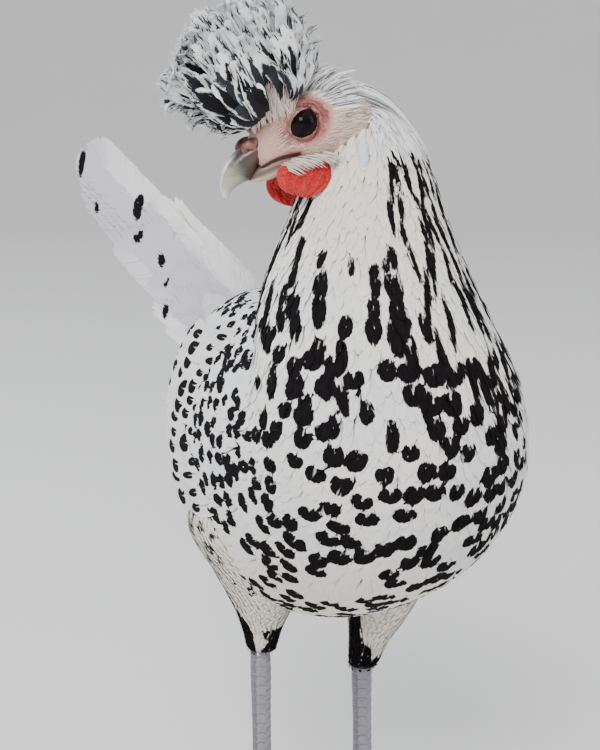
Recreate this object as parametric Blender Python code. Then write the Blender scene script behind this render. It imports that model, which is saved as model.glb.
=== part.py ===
"""Appenzeller Spitzhauben hen, life size: a still model, standing, with its head turned to its right.

Metres, +Z up. The bird's breast faces -Y and its left side is +X. Sizes are worked out in the bird's own
frame, whose origin lies on the floor below the body, and BOX_CENTRE then sets the middle of the bird's
bounding box over the origin.
"""

import math

import bmesh
import bpy
import numpy as np

MM = 0.001
GAP = 0.3 * MM
FLAT_ANGLE = 0.8
BOX_CENTRE = (-0.01381, 0.05063)
UP = np.array((0.0, 0.0, 1.0))

# Trunk and neck, from the rear to the throat. Each row is one flat cross-section: x, y and z of its centre,
# how far its plane leans back in degrees, its half width, and its reach above and below the centre.
TRUNK = (
    (0.000, 0.108, 0.195, -14, 0.0110, 0.0120, 0.0120),
    (0.000, 0.100, 0.187, -12, 0.0280, 0.0320, 0.0290),
    (0.000, 0.081, 0.174, -5, 0.0425, 0.0530, 0.0470),
    (0.000, 0.050, 0.165, 0, 0.0535, 0.0660, 0.0670),
    (-0.001, 0.014, 0.165, 3, 0.0590, 0.0680, 0.0705),
    (-0.001, -0.018, 0.173, 12, 0.0615, 0.0620, 0.0675),
    (-0.002, -0.037, 0.183, 32, 0.0610, 0.0590, 0.0600),
    (-0.006, -0.044, 0.203, 54, 0.0570, 0.0460, 0.0555),
    (-0.010, -0.039, 0.227, 74, 0.0490, 0.0370, 0.0490),
    (-0.0115, -0.035, 0.246, 85, 0.0405, 0.0320, 0.0410),
    (-0.0105, -0.0325, 0.266, 90, 0.0320, 0.0275, 0.0320),
    (-0.0090, -0.0325, 0.284, 90, 0.0255, 0.0210, 0.0235),
    (-0.0095, -0.0325, 0.298, 90, 0.0200, 0.0155, 0.0165),
    (-0.0110, -0.0325, 0.3075, 90, 0.0120, 0.0100, 0.0105),
)
NECK_FROM = 8
TRUNK_SIDES = 22
FULLNESS = 2.05

# Head, from the nape to the root of the bill: distance ahead of the eyes, height of the section's centre,
# half width, and reach above and below.
HEAD = (
    (-0.0290, -0.006, 0.0060, 0.0055, 0.0070),
    (-0.0260, -0.006, 0.0105, 0.0100, 0.0130),
    (-0.0180, -0.003, 0.0138, 0.0135, 0.0180),
    (-0.0080, 0.000, 0.0146, 0.0125, 0.0200),
    (0.0000, 0.000, 0.0138, 0.0115, 0.0190),
    (0.0080, -0.001, 0.0116, 0.0110, 0.0140),
    (0.0150, -0.003, 0.0090, 0.0105, 0.0100),
    (0.0205, -0.004, 0.0066, 0.0068, 0.0072),
)
HEAD_SIDES = 16
HEAD_AT = (-0.0397, -0.0292, 0.3026)
HEAD_YAW, HEAD_PITCH = 100.0, -24.0

# Bill, in the head's frame: distance ahead, height, how far the section dips in degrees, half width, reach
# above and below.
UPPER_BILL = (
    (0.0170, -0.0028, 0, 0.0058, 0.0040, 0.0040),
    (0.0205, -0.0025, 0, 0.0060, 0.0040, 0.0050),
    (0.0255, -0.0032, 15, 0.0053, 0.0037, 0.0062),
    (0.0300, -0.0055, 32, 0.0043, 0.0036, 0.0056),
    (0.0335, -0.0086, 50, 0.0031, 0.0030, 0.0034),
    (0.0358, -0.0116, 65, 0.0018, 0.0019, 0.0016),
    (0.0369, -0.0141, 72, 0.0007, 0.0007, 0.0007),
)
LOWER_BILL = (
    (0.0120, -0.0114, 0, 0.0052, 0.0020, 0.0030),
    (0.0180, -0.0116, -3, 0.0050, 0.0018, 0.0030),
    (0.0230, -0.0120, -5, 0.0040, 0.0013, 0.0022),
    (0.0260, -0.0122, -6, 0.0026, 0.0009, 0.0013),
    (0.0282, -0.0123, -6, 0.0011, 0.0005, 0.0006),
)
BILL_SIDES = 10

EYE_AT = (0.0006, 0.0080, 0.0009)
EYE_RADIUS = 6.3 * MM
LID_RADIUS = 5.0 * MM
LID_THICK = 1.1 * MM
NOSTRIL_AT = (0.0212, 0.0044, 0.0006)
NOSTRIL_SIZE = (0.0040, 0.0026, 0.0036)
NOSTRIL_SLIT_AT = (0.0238, 0.0052, -0.0010)
NOSTRIL_SLIT_SIZE = (0.0018, 0.0022, 0.0007)
MOUTH_CORNER = (0.0075, 0.0118, -0.0092)
MOUTH_FRONT = (0.0215, 0.0066, -0.0074)
COMB_AT = (0.0150, 0.0030, 0.0062)
COMB_TIP = (0.0195, 0.0052, 0.0115)
WATTLE_TOP = (0.0070, 0.0085, -0.0125)
WATTLE_DROP = 16 * MM
EARLOBE_AT = (-0.0105, 0.0142, -0.0170)
EARLOBE_SIZE = (0.0026, 0.0016, 0.0068)

# Legs, in the bird's frame, for the left side.
FOOT_AT = (0.0215, 0.0300)
HOCK_Z = 74 * MM
CUFF_Z = {"left": 66 * MM, "right": 73 * MM}
STANCE = 6 * MM
THIGH = (
    (0.0300, 0.020, 0.152, 0.0215, 0.0270),
    (0.0330, 0.023, 0.134, 0.0230, 0.0300),
    (0.0290, 0.022, 0.114, 0.0175, 0.0240),
    (0.0252, 0.024, 0.097, 0.0125, 0.0170),
    (0.0228, 0.028, 0.085, 0.0088, 0.0110),
    (0.0215, 0.031, 0.074, 0.0062, 0.0074),
)
THIGH_SIDES = 14
SHANK = (
    (0.0000, 0.0052, 0.0055),
    (0.0022, 0.0070, 0.0072),
    (0.0070, 0.0072, 0.0074),
    (0.0120, 0.0056, 0.0058),
    (0.0170, 0.0042, 0.0046),
    (0.0340, 0.0037, 0.0042),
    (0.0520, 0.0038, 0.0044),
    (0.0620, 0.0046, 0.0054),
    (0.0680, 0.0050, 0.0060),
    (0.0720, 0.0048, 0.0056),
)
SCUTES = 8
SCUTE_STEP = 0.35 * MM
SHANK_SIDES = 8
TOES = (
    ("middle", -4, 0.050, 0.0037),
    ("inner", -26, 0.033, 0.0034),
    ("outer", 30, 0.040, 0.0033),
    ("hallux", 168, 0.019, 0.0030),
)
TOE_PROFILE = (
    (0.00, 1.25),
    (0.33, 1.02),
    (0.38, 0.88),
    (0.60, 0.96),
    (0.65, 0.78),
    (1.00, 0.58),
)
TOE_SIDES = 8
TOE_FLAT = 0.25 * MM
CLAW_LENGTH = 9.0 * MM
CLAW_RADIUS = 1.7 * MM

TAIL_ROOT = (-0.004, 0.088, 0.212)
TAIL_YAW, TAIL_PITCH = 16.0, 35.0
TAIL_LENGTH = 130 * MM
TAIL_PAIRS = 5
TAIL_ROOF = 58.0
TAIL_CORE = (
    (-0.018, 0.018, 0.017, 0.024),
    (0.000, 0.017, 0.016, 0.024),
    (0.018, 0.012, 0.011, 0.018),
    (0.034, 0.006, 0.006, 0.010),
)
VANE_THICK = 0.8 * MM
WING_TILT = 5.0
WING_PAD = (
    (6.0, 12, 0.9),
    (5.4, 25, 1.3),
    (4.4, 33, 1.7),
    (3.4, 32, 1.7),
    (2.5, 26, 1.5),
    (2.0, 14, 1.3),
)
CREST_PLUMES = 34
CREST_MIDDLE = (0.0118, 0.0, 0.0270)
CREST_RADII = (0.0302, 0.0230, 0.0232)
CREST_CORE = 0.62
CREST_STEM = (0.0120, 0.0085, 0.0075)

WHITE_FEATHER = (0.84, 0.83, 0.81)
PALE_FEATHER = (0.86, 0.86, 0.85)
GREY_FEATHER = (0.50, 0.50, 0.52)
CREAM_SKIN = (0.80, 0.68, 0.60)
HORN = (0.55, 0.53, 0.48)
RED_SKIN = (0.72, 0.06, 0.05)
DARK_EYE = (0.02, 0.012, 0.01)
LOBE = (0.72, 0.78, 0.82)
SLATE = (0.36, 0.35, 0.38)
CLAW = (0.50, 0.46, 0.42)


def remove_everything():
    for thing in list(bpy.data.objects):
        bpy.data.objects.remove(thing)


def unit(v):
    v = np.asarray(v, float)
    return v / np.linalg.norm(v)


def along(table, q):
    """The row of a table at the real-valued place q: a cubic through the rows on either side."""
    rows = np.array(table, float)
    last = len(rows) - 1
    q = min(max(q, 0.0), float(last))
    i = min(int(q), last - 1)
    f = q - i
    before, here, there, after = rows[max(i - 1, 0)], rows[i], rows[i + 1], rows[min(i + 2, last)]
    leave, arrive = (there - before) / 2, (after - here) / 2
    f2, f3 = f * f, f * f * f
    start, end = (2 * f3 - 3 * f2 + 1) * here, (3 * f2 - 2 * f3) * there
    return start + end + (f3 - 2 * f2 + f) * leave + (f3 - f2) * arrive


def ring(centre, left, up, half_width, above, below, sides, fullness=2.0):
    """Points round an egg-shaped section, from its top by the left side and the bottom."""
    turn = np.arange(sides) * 2 * math.pi / sides
    reach = np.where(np.cos(turn) >= 0, above, below)
    power = 2.0 / fullness
    across = np.sign(np.sin(turn)) * np.abs(np.sin(turn)) ** power * half_width
    high = np.sign(np.cos(turn)) * np.abs(np.cos(turn)) ** power * reach
    return np.asarray(centre) + np.outer(across, left) + np.outer(high, up)


def closed(rings, tips=(0.0, 0.0)):
    """Points and triangles of a closed skin over rings, with a hub at each end pushed out by tips."""
    rings = [np.asarray(points) for points in rings]
    sides = len(rings[0])
    points = list(np.concatenate(rings))
    faces = []
    for row in range(len(rings) - 1):
        for k in range(sides):
            a, b = row * sides + k, row * sides + (k + 1) % sides
            faces += [(a, b, b + sides), (a, b + sides, a + sides)]
    ends = ((0, rings[0], rings[1], tips[0]), ((len(rings) - 1) * sides, rings[-1], rings[-2], tips[1]))
    for first, outer, inner, push in ends:
        hub = len(points)
        points.append(outer.mean(axis=0) + (outer.mean(axis=0) - inner.mean(axis=0)) * push)
        for k in range(sides):
            a, b = first + k, first + (k + 1) % sides
            faces.append((b, a, hub) if first == 0 else (a, b, hub))
    return np.array(points), faces


def add_mesh(name, shape):
    """A mesh object of the given points and faces, its faces turned outward."""
    points, faces = shape
    bm = bmesh.new()
    verts = [bm.verts.new(p) for p in points]
    for face in faces:
        bm.faces.new([verts[i] for i in face])
    bmesh.ops.recalc_face_normals(bm, faces=bm.faces)
    if bm.calc_volume(signed=True) < 0:
        bmesh.ops.reverse_faces(bm, faces=bm.faces)
    mesh = bpy.data.meshes.new(name)
    bm.to_mesh(mesh)
    bm.free()
    thing = bpy.data.objects.new(name, mesh)
    bpy.context.scene.collection.objects.link(thing)
    return thing


def keep_largest(thing):
    """Leave an object only its largest closed surface."""
    bm = bmesh.new()
    bm.from_mesh(thing.data)
    bm.verts.ensure_lookup_table()
    unseen, islands = set(bm.verts), []
    while unseen:
        stack, island = [unseen.pop()], []
        while stack:
            vert = stack.pop()
            island.append(vert)
            for edge in vert.link_edges:
                other = edge.other_vert(vert)
                if other in unseen:
                    unseen.discard(other)
                    stack.append(other)
        islands.append(island)
    islands.sort(key=len, reverse=True)
    for island in islands[1:]:
        bmesh.ops.delete(bm, geom=island, context="VERTS")
    bmesh.ops.dissolve_limit(bm, angle_limit=math.radians(FLAT_ANGLE), verts=bm.verts, edges=bm.edges)
    bmesh.ops.triangulate(bm, faces=bm.faces)
    bm.to_mesh(thing.data)
    bm.free()


def boolean(thing, others, operation):
    """Join other objects to one, or take them from it, and remove them."""
    group = bpy.data.collections.new("operands")
    for other in others:
        group.objects.link(other)
    step = thing.modifiers.new("step", "BOOLEAN")
    step.operation = operation
    step.operand_type = "COLLECTION"
    step.collection = group
    step.solver = "EXACT"
    bpy.context.view_layer.update()
    done = thing.evaluated_get(bpy.context.evaluated_depsgraph_get())
    mesh = bpy.data.meshes.new_from_object(done)
    thing.modifiers.clear()
    thing.data = mesh
    bpy.data.collections.remove(group)
    for other in others:
        bpy.data.objects.remove(other)
    keep_largest(thing)
    return thing


def join(name, shapes):
    """One object of closed shapes that run into one another."""
    things = [add_mesh(name if i == 0 else "%s_%d" % (name, i), shape) for i, shape in enumerate(shapes)]
    if len(things) == 1:
        return things[0]
    return boolean(things[0], things[1:], "UNION")


def grown(thing, by=GAP):
    """A copy of an object, larger by a gap on every side."""
    bm = bmesh.new()
    bm.from_mesh(thing.data)
    moves = [v.normal * by * min(v.calc_shell_factor(), 2.0) for v in bm.verts]
    for v, move in zip(bm.verts, moves):
        v.co += move
    mesh = bpy.data.meshes.new("grown")
    bm.to_mesh(mesh)
    bm.free()
    copy = bpy.data.objects.new("grown", mesh)
    bpy.context.scene.collection.objects.link(copy)
    return copy


def clear_of(thing, *neighbours):
    """Take the neighbours, with the gap round them, out of an object."""
    return boolean(thing, [grown(n) for n in neighbours], "DIFFERENCE")


def paint(things, slot, colour, roughness, metallic=0.0, smooth=True):
    """One material per object, and smooth shading where the object is round."""
    for thing in things:
        material = bpy.data.materials.new(slot + "_" + thing.name)
        material.use_nodes = True
        surface = material.node_tree.nodes["Principled BSDF"]
        surface.inputs["Base Color"].default_value = (*colour, 1.0)
        surface.inputs["Roughness"].default_value = roughness
        surface.inputs["Metallic"].default_value = metallic
        thing.data.materials.clear()
        thing.data.materials.append(material)
        if smooth:
            thing.data.shade_smooth()


def trunk_frame(q):
    """Centre, ahead, left and up of the trunk's section at q, then its half width and two reaches."""
    x, y, z, lean, half_width, above, below = along(TRUNK, q)
    lean = math.radians(lean)
    up = np.array((0.0, math.sin(lean), math.cos(lean)))
    ahead = np.array((0.0, -math.cos(lean), math.sin(lean)))
    return np.array((x, y, z)), ahead, np.array((1.0, 0.0, 0.0)), up, half_width, above, below


def trunk_ring(q, shift=0.0, sides=TRUNK_SIDES):
    centre, ahead, left, up, half_width, above, below = trunk_frame(q)
    return ring(centre + ahead * shift, left, up, half_width, above, below, sides, FULLNESS)


def on_trunk(q, turn, out):
    """A place out from the trunk's skin, turn degrees from its top round by the left, and the way out."""

    def skin(q_at, turn_at):
        centre, ahead, left, up, half_width, above, below = trunk_frame(q_at)
        s, c = math.sin(math.radians(turn_at)), math.cos(math.radians(turn_at))
        reach = above if c >= 0 else below
        power = 2.0 / FULLNESS
        return (
            centre
            + left * math.copysign(abs(s) ** power, s) * half_width
            + up * math.copysign(abs(c) ** power, c) * reach
        )

    here = skin(q, turn)
    forward = skin(q + 0.05, turn) - skin(q - 0.05, turn)
    round_it = skin(q, turn + 2) - skin(q, turn - 2)
    way_out = unit(np.cross(forward, round_it))
    centre = trunk_frame(q)[0]
    if np.dot(way_out, here - centre) < 0:
        way_out = -way_out
    return here + way_out * out, way_out


def head_axes():
    """The head's own directions: ahead to the bill, its left, and up."""
    yaw, pitch = math.radians(HEAD_YAW), math.radians(HEAD_PITCH)
    level = np.array((-math.sin(yaw), -math.cos(yaw), 0.0))
    left = np.array((math.cos(yaw), -math.sin(yaw), 0.0))
    ahead = level * math.cos(pitch) + UP * math.sin(pitch)
    return ahead, left, np.cross(ahead, left)


def in_head(ahead, left, up):
    """A point given in the head's own frame, as a place in the bird's."""
    axes = head_axes()
    return np.array(HEAD_AT) + axes[0] * ahead + axes[1] * left + axes[2] * up


def egg(centre, axes, radii, sides=12, rows=6):
    """A closed egg with the given half sizes along three axes."""
    rings = []
    for row in range(1, rows):
        turn = math.pi * row / rows
        middle = centre - axes[0] * radii[0] * math.cos(turn)
        wide = math.sin(turn)
        rings.append(ring(middle, axes[1], axes[2], radii[1] * wide, radii[2] * wide, radii[2] * wide, sides))
    points, faces = closed(rings)
    points[-2] = centre - axes[0] * radii[0]
    points[-1] = centre + axes[0] * radii[0]
    return points, faces


def tube(line, radii, sides=8, tips=(0.3, 0.3)):
    """A round closed tube along a line of points."""
    line = [np.asarray(p, float) for p in line]
    rings = []
    for i, point in enumerate(line):
        way = unit(line[min(i + 1, len(line) - 1)] - line[max(i - 1, 0)])
        side = unit(np.cross(way, UP if abs(way[2]) < 0.9 else np.array((0.0, 1.0, 0.0))))
        rings.append(ring(point, side, np.cross(side, way), radii[i], radii[i], radii[i], sides))
    return closed(rings, tips)


def vane(line, faces_way, half_widths, thick, bow, tilt=0.0):
    """A feather's vane as a closed strip: along a line, facing the given ways, its edges bowed down."""
    line = np.asarray(line, float)
    rings = []
    for i, point in enumerate(line):
        way = unit(line[min(i + 1, len(line) - 1)] - line[max(i - 1, 0)])
        side = unit(np.cross(way, faces_way[i]))
        face = np.cross(side, way)
        lean = math.radians(tilt)
        side, face = side * math.cos(lean) + face * math.sin(lean), face * math.cos(lean) - side * math.sin(lean)
        edge = side * half_widths[i]
        half, drop = face * thick / 2, -face * bow * half_widths[i]
        upper = (point - edge + half + drop, point + half, point + edge + half + drop)
        lower = (point + edge - half + drop, point - half, point - edge - half + drop)
        rings.append(np.array(upper + lower))
    return closed(rings, (0.1, 0.1))


def make_trunk():
    steps = np.linspace(0, NECK_FROM, NECK_FROM * 2 + 1)
    torso = add_mesh("torso", closed([trunk_ring(q) for q in steps], (0.5, 0.0)))
    last = len(TRUNK) - 1
    steps = np.linspace(NECK_FROM, last, (last - NECK_FROM) * 2 + 1)
    neck = add_mesh("neck", closed([trunk_ring(q, GAP if q == NECK_FROM else 0.0) for q in steps]))
    return torso, neck


def bill_shape(table, steps_a_row=1):
    ahead, left, up = head_axes()
    rings = []
    for q in np.linspace(0, len(table) - 1, (len(table) - 1) * steps_a_row + 1):
        far, high, dip, half_width, above, below = along(table, q)
        tilt = math.radians(dip)
        rise = up * math.cos(tilt) + ahead * math.sin(tilt)
        rings.append(ring(in_head(far, 0, high), left, rise, half_width, above, below, BILL_SIDES))
    return closed(rings, (0.0, 0.6))


def mirrored(point, side):
    return (point[0], point[1] * side, point[2])


def lid(side):
    """A ring of skin round the eye."""
    ahead, left, up = head_axes()
    across = unit(left * side + ahead * 0.12)
    rise = unit(up - across * np.dot(up, across))
    front = np.cross(across, rise)
    centre = in_head(*mirrored(EYE_AT, side)) + across * (EYE_RADIUS - 2.2 * MM)
    around, small = 12, 5
    points, faces = [], []
    for i in range(around):
        turn = 2 * math.pi * i / around
        way = front * math.cos(turn) + rise * math.sin(turn)
        for k in range(small):
            lean = 2 * math.pi * k / small
            points.append(
                centre + way * (LID_RADIUS + LID_THICK * math.cos(lean)) + across * LID_THICK * math.sin(lean)
            )
            a, b = i * small + k, i * small + (k + 1) % small
            c, d = ((i + 1) % around) * small + k, ((i + 1) % around) * small + (k + 1) % small
            faces += [(a, b, d), (a, d, c)]
    return np.array(points), faces


def make_head(parts):
    """The head with lids and nostrils, its bill, eyes, comb, wattles and earlobes."""
    ahead, left, up = head_axes()
    rings = []
    for q in np.linspace(0, len(HEAD) - 1, (len(HEAD) - 1) * 2 + 1):
        far, height, half_width, above, below = along(HEAD, q)
        rings.append(ring(in_head(far, 0, height), left, up, half_width, above, below, HEAD_SIDES))
    shapes = [closed(rings, (0.3, 0.0))]
    for side in (1, -1):
        shapes.append(lid(side))
        shapes.append(egg(in_head(*mirrored(NOSTRIL_AT, side)), (ahead, left, up), NOSTRIL_SIZE, 8, 4))
    head = join("head", shapes)
    eyes = []
    for side, name in ((1, "eye_left"), (-1, "eye_right")):
        axes = (left, up, ahead)
        shape = egg(in_head(*mirrored(EYE_AT, side)), axes, (EYE_RADIUS,) * 3, 14, 7)
        eyes.append(add_mesh(name, shape))
    upper = add_mesh("upper_beak", bill_shape(UPPER_BILL))
    lower = add_mesh("lower_beak", bill_shape(LOWER_BILL))
    slits = []
    for side in (1, -1):
        at = in_head(*mirrored(NOSTRIL_SLIT_AT, side))
        slits.append(add_mesh("slit", egg(at, (ahead, left, up), NOSTRIL_SLIT_SIZE, 8, 4)))
        corner, front = in_head(*mirrored(MOUTH_CORNER, side)), in_head(*mirrored(MOUTH_FRONT, side))
        middle = (corner + front) / 2 + left * side * 0.6 * MM
        slits.append(add_mesh("mouth", tube((corner, middle, front), (0.5 * MM, 0.8 * MM, 0.8 * MM))))
    boolean(head, slits, "DIFFERENCE")
    clear_of(head, upper, lower, *eyes)
    parts.update(head=head, upper_beak=upper, lower_beak=lower, eye_left=eyes[0], eye_right=eyes[1])


def make_comb(parts):
    horns = []
    for side in (1, -1):
        root, tip = np.array(mirrored(COMB_AT, side)), np.array(mirrored(COMB_TIP, side))
        line = [in_head(*(root + (tip - root) * f)) for f in (-0.4, 0.3, 0.7, 1.0)]
        horns.append(tube(line, (2.4 * MM, 2.1 * MM, 1.5 * MM, 0.6 * MM), 8))
    bridge = [in_head(COMB_AT[0], y, COMB_AT[2] + 0.001) for y in (-0.003, 0.0, 0.003)]
    horns.append(tube(bridge, (1.9 * MM,) * 3, 8))
    parts["comb"] = clear_of(join("comb", horns), parts["head"], parts["upper_beak"])


def wattle_shape(side):
    """A hanging fold of skin, broad at its root and round below."""
    ahead, left, up = head_axes()
    level = unit(ahead - UP * np.dot(ahead, UP))
    root = in_head(*mirrored(WATTLE_TOP, side))
    rows = ((-0.10, 0.0085, 0.0022), (0.12, 0.0102, 0.0019), (0.40, 0.0100, 0.0017), (0.68, 0.0082, 0.0018))
    rows += ((0.88, 0.0052, 0.0016), (1.0, 0.0022, 0.0010))
    rings = []
    for drop, half_length, thick in rows:
        swing = left * side * (3.0 * MM * math.sin(math.pi * min(drop, 1.0) * 0.8))
        centre = root - UP * WATTLE_DROP * drop + level * 1.5 * MM * drop + swing
        rings.append(ring(centre, level, left * side, half_length, thick, thick, 14))
    return closed(rings, (0.1, 0.3))


def make_face(parts):
    ahead, left, up = head_axes()
    for side, name in ((1, "left"), (-1, "right")):
        wattle = add_mesh("wattle_" + name, wattle_shape(side))
        parts["wattle_" + name] = clear_of(wattle, parts["head"], parts["lower_beak"], parts["neck"])
        down = unit(up * 0.93 + ahead * -0.37)
        axes = (down, unit(np.cross(left, down)), left)
        sizes = (EARLOBE_SIZE[2], EARLOBE_SIZE[0], EARLOBE_SIZE[1])
        lobe = add_mesh("earlobe_" + name, egg(in_head(*mirrored(EARLOBE_AT, side)), axes, sizes, 10, 6))
        parts["earlobe_" + name] = clear_of(lobe, parts["head"], parts["neck"])


def make_crest(parts):
    """Plumes round a full tuft on the crown, each one laid outward over the next and curled at its tip."""
    ahead, left, up = head_axes()
    core = np.array(CREST_RADII) * CREST_CORE
    middle = in_head(*CREST_MIDDLE)
    stem = in_head(0.5 * CREST_MIDDLE[0] + 0.004, 0.0, 0.0110)
    shapes = [egg(middle, (ahead, left, up), core, 14, 7), egg(stem, (ahead, left, up), CREST_STEM, 12, 5)]
    golden = math.pi * (3 - math.sqrt(5))

    def on_egg(direction, size):
        reach = core * size * np.array(unit(direction))
        return middle + ahead * reach[0] + left * reach[1] + up * reach[2]

    for i in range(CREST_PLUMES):
        height = 1 - (i + 0.5) / CREST_PLUMES * 1.45
        flat = math.sqrt(1 - height * height)
        reach = np.array((flat * math.cos(i * golden), flat * math.sin(i * golden), height))
        low = reach - np.array((0.10, 0.0, 0.62))
        uneven = 1 + 0.05 * math.sin(5.3 * i)
        root, tip = on_egg(low, 0.86), on_egg(reach, uneven / CREST_CORE)
        bend = on_egg(low + reach * 0.8, 1.30)
        line = [root * (1 - s) ** 2 + bend * 2 * s * (1 - s) + tip * s * s for s in (0.0, 0.4, 0.75, 1.0)]
        out = ahead * reach[0] + left * reach[1] + up * reach[2]
        level = ahead * reach[0] + left * reach[1]
        line.append(tip + unit(out * 0.5 - up * 0.5 + level * 0.5) * 3.6 * MM)
        across = unit(np.cross(up, out))
        ways = [line[min(k + 1, len(line) - 1)] - line[max(k - 1, 0)] for k in range(len(line))]
        faces_way = [np.cross(across, way) for way in ways]
        widths = [w * MM for w in (2.4, 4.0, 5.0, 4.6, 2.2)]
        shapes.append(vane(line, faces_way, widths, VANE_THICK, 0.12))
    crest = join("crest", shapes)
    parts["crest"] = clear_of(crest, parts["head"], parts["comb"], parts["neck"])


def make_wing(parts, side, name):
    """A folded wing: a pad on the flank, the long vanes behind it and two tiers of coverts over both."""

    def place(q, turn, out):
        point, way = on_trunk(q, turn, out * MM)
        return point * (side, 1, 1), way * (side, 1, 1)

    rings = []
    for q, half, thick in WING_PAD:
        points = []
        for k in range(12):
            turn = 2 * math.pi * k / 12
            out = thick * math.sqrt(max(0.0, math.cos(turn))) if math.cos(turn) > -0.1 else -2.5
            points.append(place(q, 74 - half * math.sin(turn), out)[0])
        rings.append(points)
    shapes = [closed(rings, (0.1, 0.1))]

    def feather(start, end, half_width, out_from, out_to):
        shape = (0.55, 0.95, 1.0, 0.78, 0.30)
        line, ways = [], []
        for s in (0.0, 0.3, 0.65, 0.9, 1.0):
            q, turn = start[0] + (end[0] - start[0]) * s, start[1] + (end[1] - start[1]) * s
            point, way = place(q, turn, out_from + (out_to - out_from) * s)
            line.append(point)
            ways.append(way)
        widths = [half_width * MM * w for w in shape]
        return vane(line, ways, widths, VANE_THICK, 0.04, WING_TILT * side)

    for i in range(2):
        shapes.append(feather((3.2, 80 - 7 * i), (1.05 + 0.2 * i, 88 - 12 * i), 8.0, 0.8, 1.6))
    for i in range(5):
        shapes.append(feather((4.3, 92 - 11 * i), (1.85 - 0.05 * i, 101 - 12 * i), 10.5, 1.0, 2.4))
    for i in range(3):
        shapes.append(feather((4.9, 88 - 14 * i), (3.2, 95 - 20 * i), 12.5, 1.2, 3.1))
    for i in range(3):
        shapes.append(feather((5.7, 84 - 12 * i), (4.3, 90 - 19 * i), 12.0, 0.3, 3.4))
    wing = join("wing_" + name, shapes)
    parts["wing_" + name] = clear_of(wing, parts["torso"], parts["neck"])


def tail_axes():
    yaw, pitch = math.radians(TAIL_YAW), math.radians(TAIL_PITCH)
    level = np.array((-math.sin(yaw), math.cos(yaw), 0.0))
    away = level * math.cos(pitch) + UP * math.sin(pitch)
    right = unit(np.cross(away, UP))
    return away, right, np.cross(right, away)


def make_tail(parts):
    """The tail: a fleshy root, pairs of long vanes laid like a steep roof, and coverts over their roots."""
    away, right, up = tail_axes()
    root = np.array(TAIL_ROOT)
    rings = []
    for far, half_width, above, below in TAIL_CORE:
        rings.append(ring(root + away * far - up * 0.006, right, up, half_width, above, below, 12))
    shapes = [closed(rings, (0.1, 0.3))]
    roof = math.radians(TAIL_ROOF)

    def feather(side, far, length, down, inward, half_width):
        """down and inward: distances below the ridge and in from the roof, at the root and at the tip."""
        face = unit(right * side * math.sin(roof) + up * math.cos(roof))
        slope = unit(right * side * math.cos(roof) - up * math.sin(roof))
        line = []
        for s in (0.0, 0.3, 0.65, 0.88, 0.98, 1.0):
            point = root + away * (far + length * s) + up * 8 * MM
            point = point + slope * (down[0] + (down[1] - down[0]) * s) * MM
            line.append(point - face * (inward[0] + (inward[1] - inward[0]) * s) * MM)
        widths = [half_width * MM * w for w in (0.5, 0.9, 1.0, 0.86, 0.5, 0.25)]
        return vane(line, [face] * len(line), widths, VANE_THICK, 0.05)

    for side in (1, -1):
        lower = 0.0 if side == 1 else 2.5
        for i in range(TAIL_PAIRS):
            length = TAIL_LENGTH * (1 - 0.045 * i)
            down = (5 + 3.4 * i + lower, 10.5 + 5.2 * i + lower)
            shapes.append(feather(side, -0.004, length, down, (1.2 * i + 0.2, 1.3 * i), 11.0))
        for i in range(2):
            down = (4 + 10 * i + lower, 8 + 13 * i + lower)
            inward = (-1.2, -2.0 - 1.15 * (1 - i))
            shapes.append(feather(side, -0.008, 0.064 - 0.006 * i, down, inward, 11.5))
    tail = join("tail", shapes)
    parts["tail"] = clear_of(tail, parts["torso"])


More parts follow.
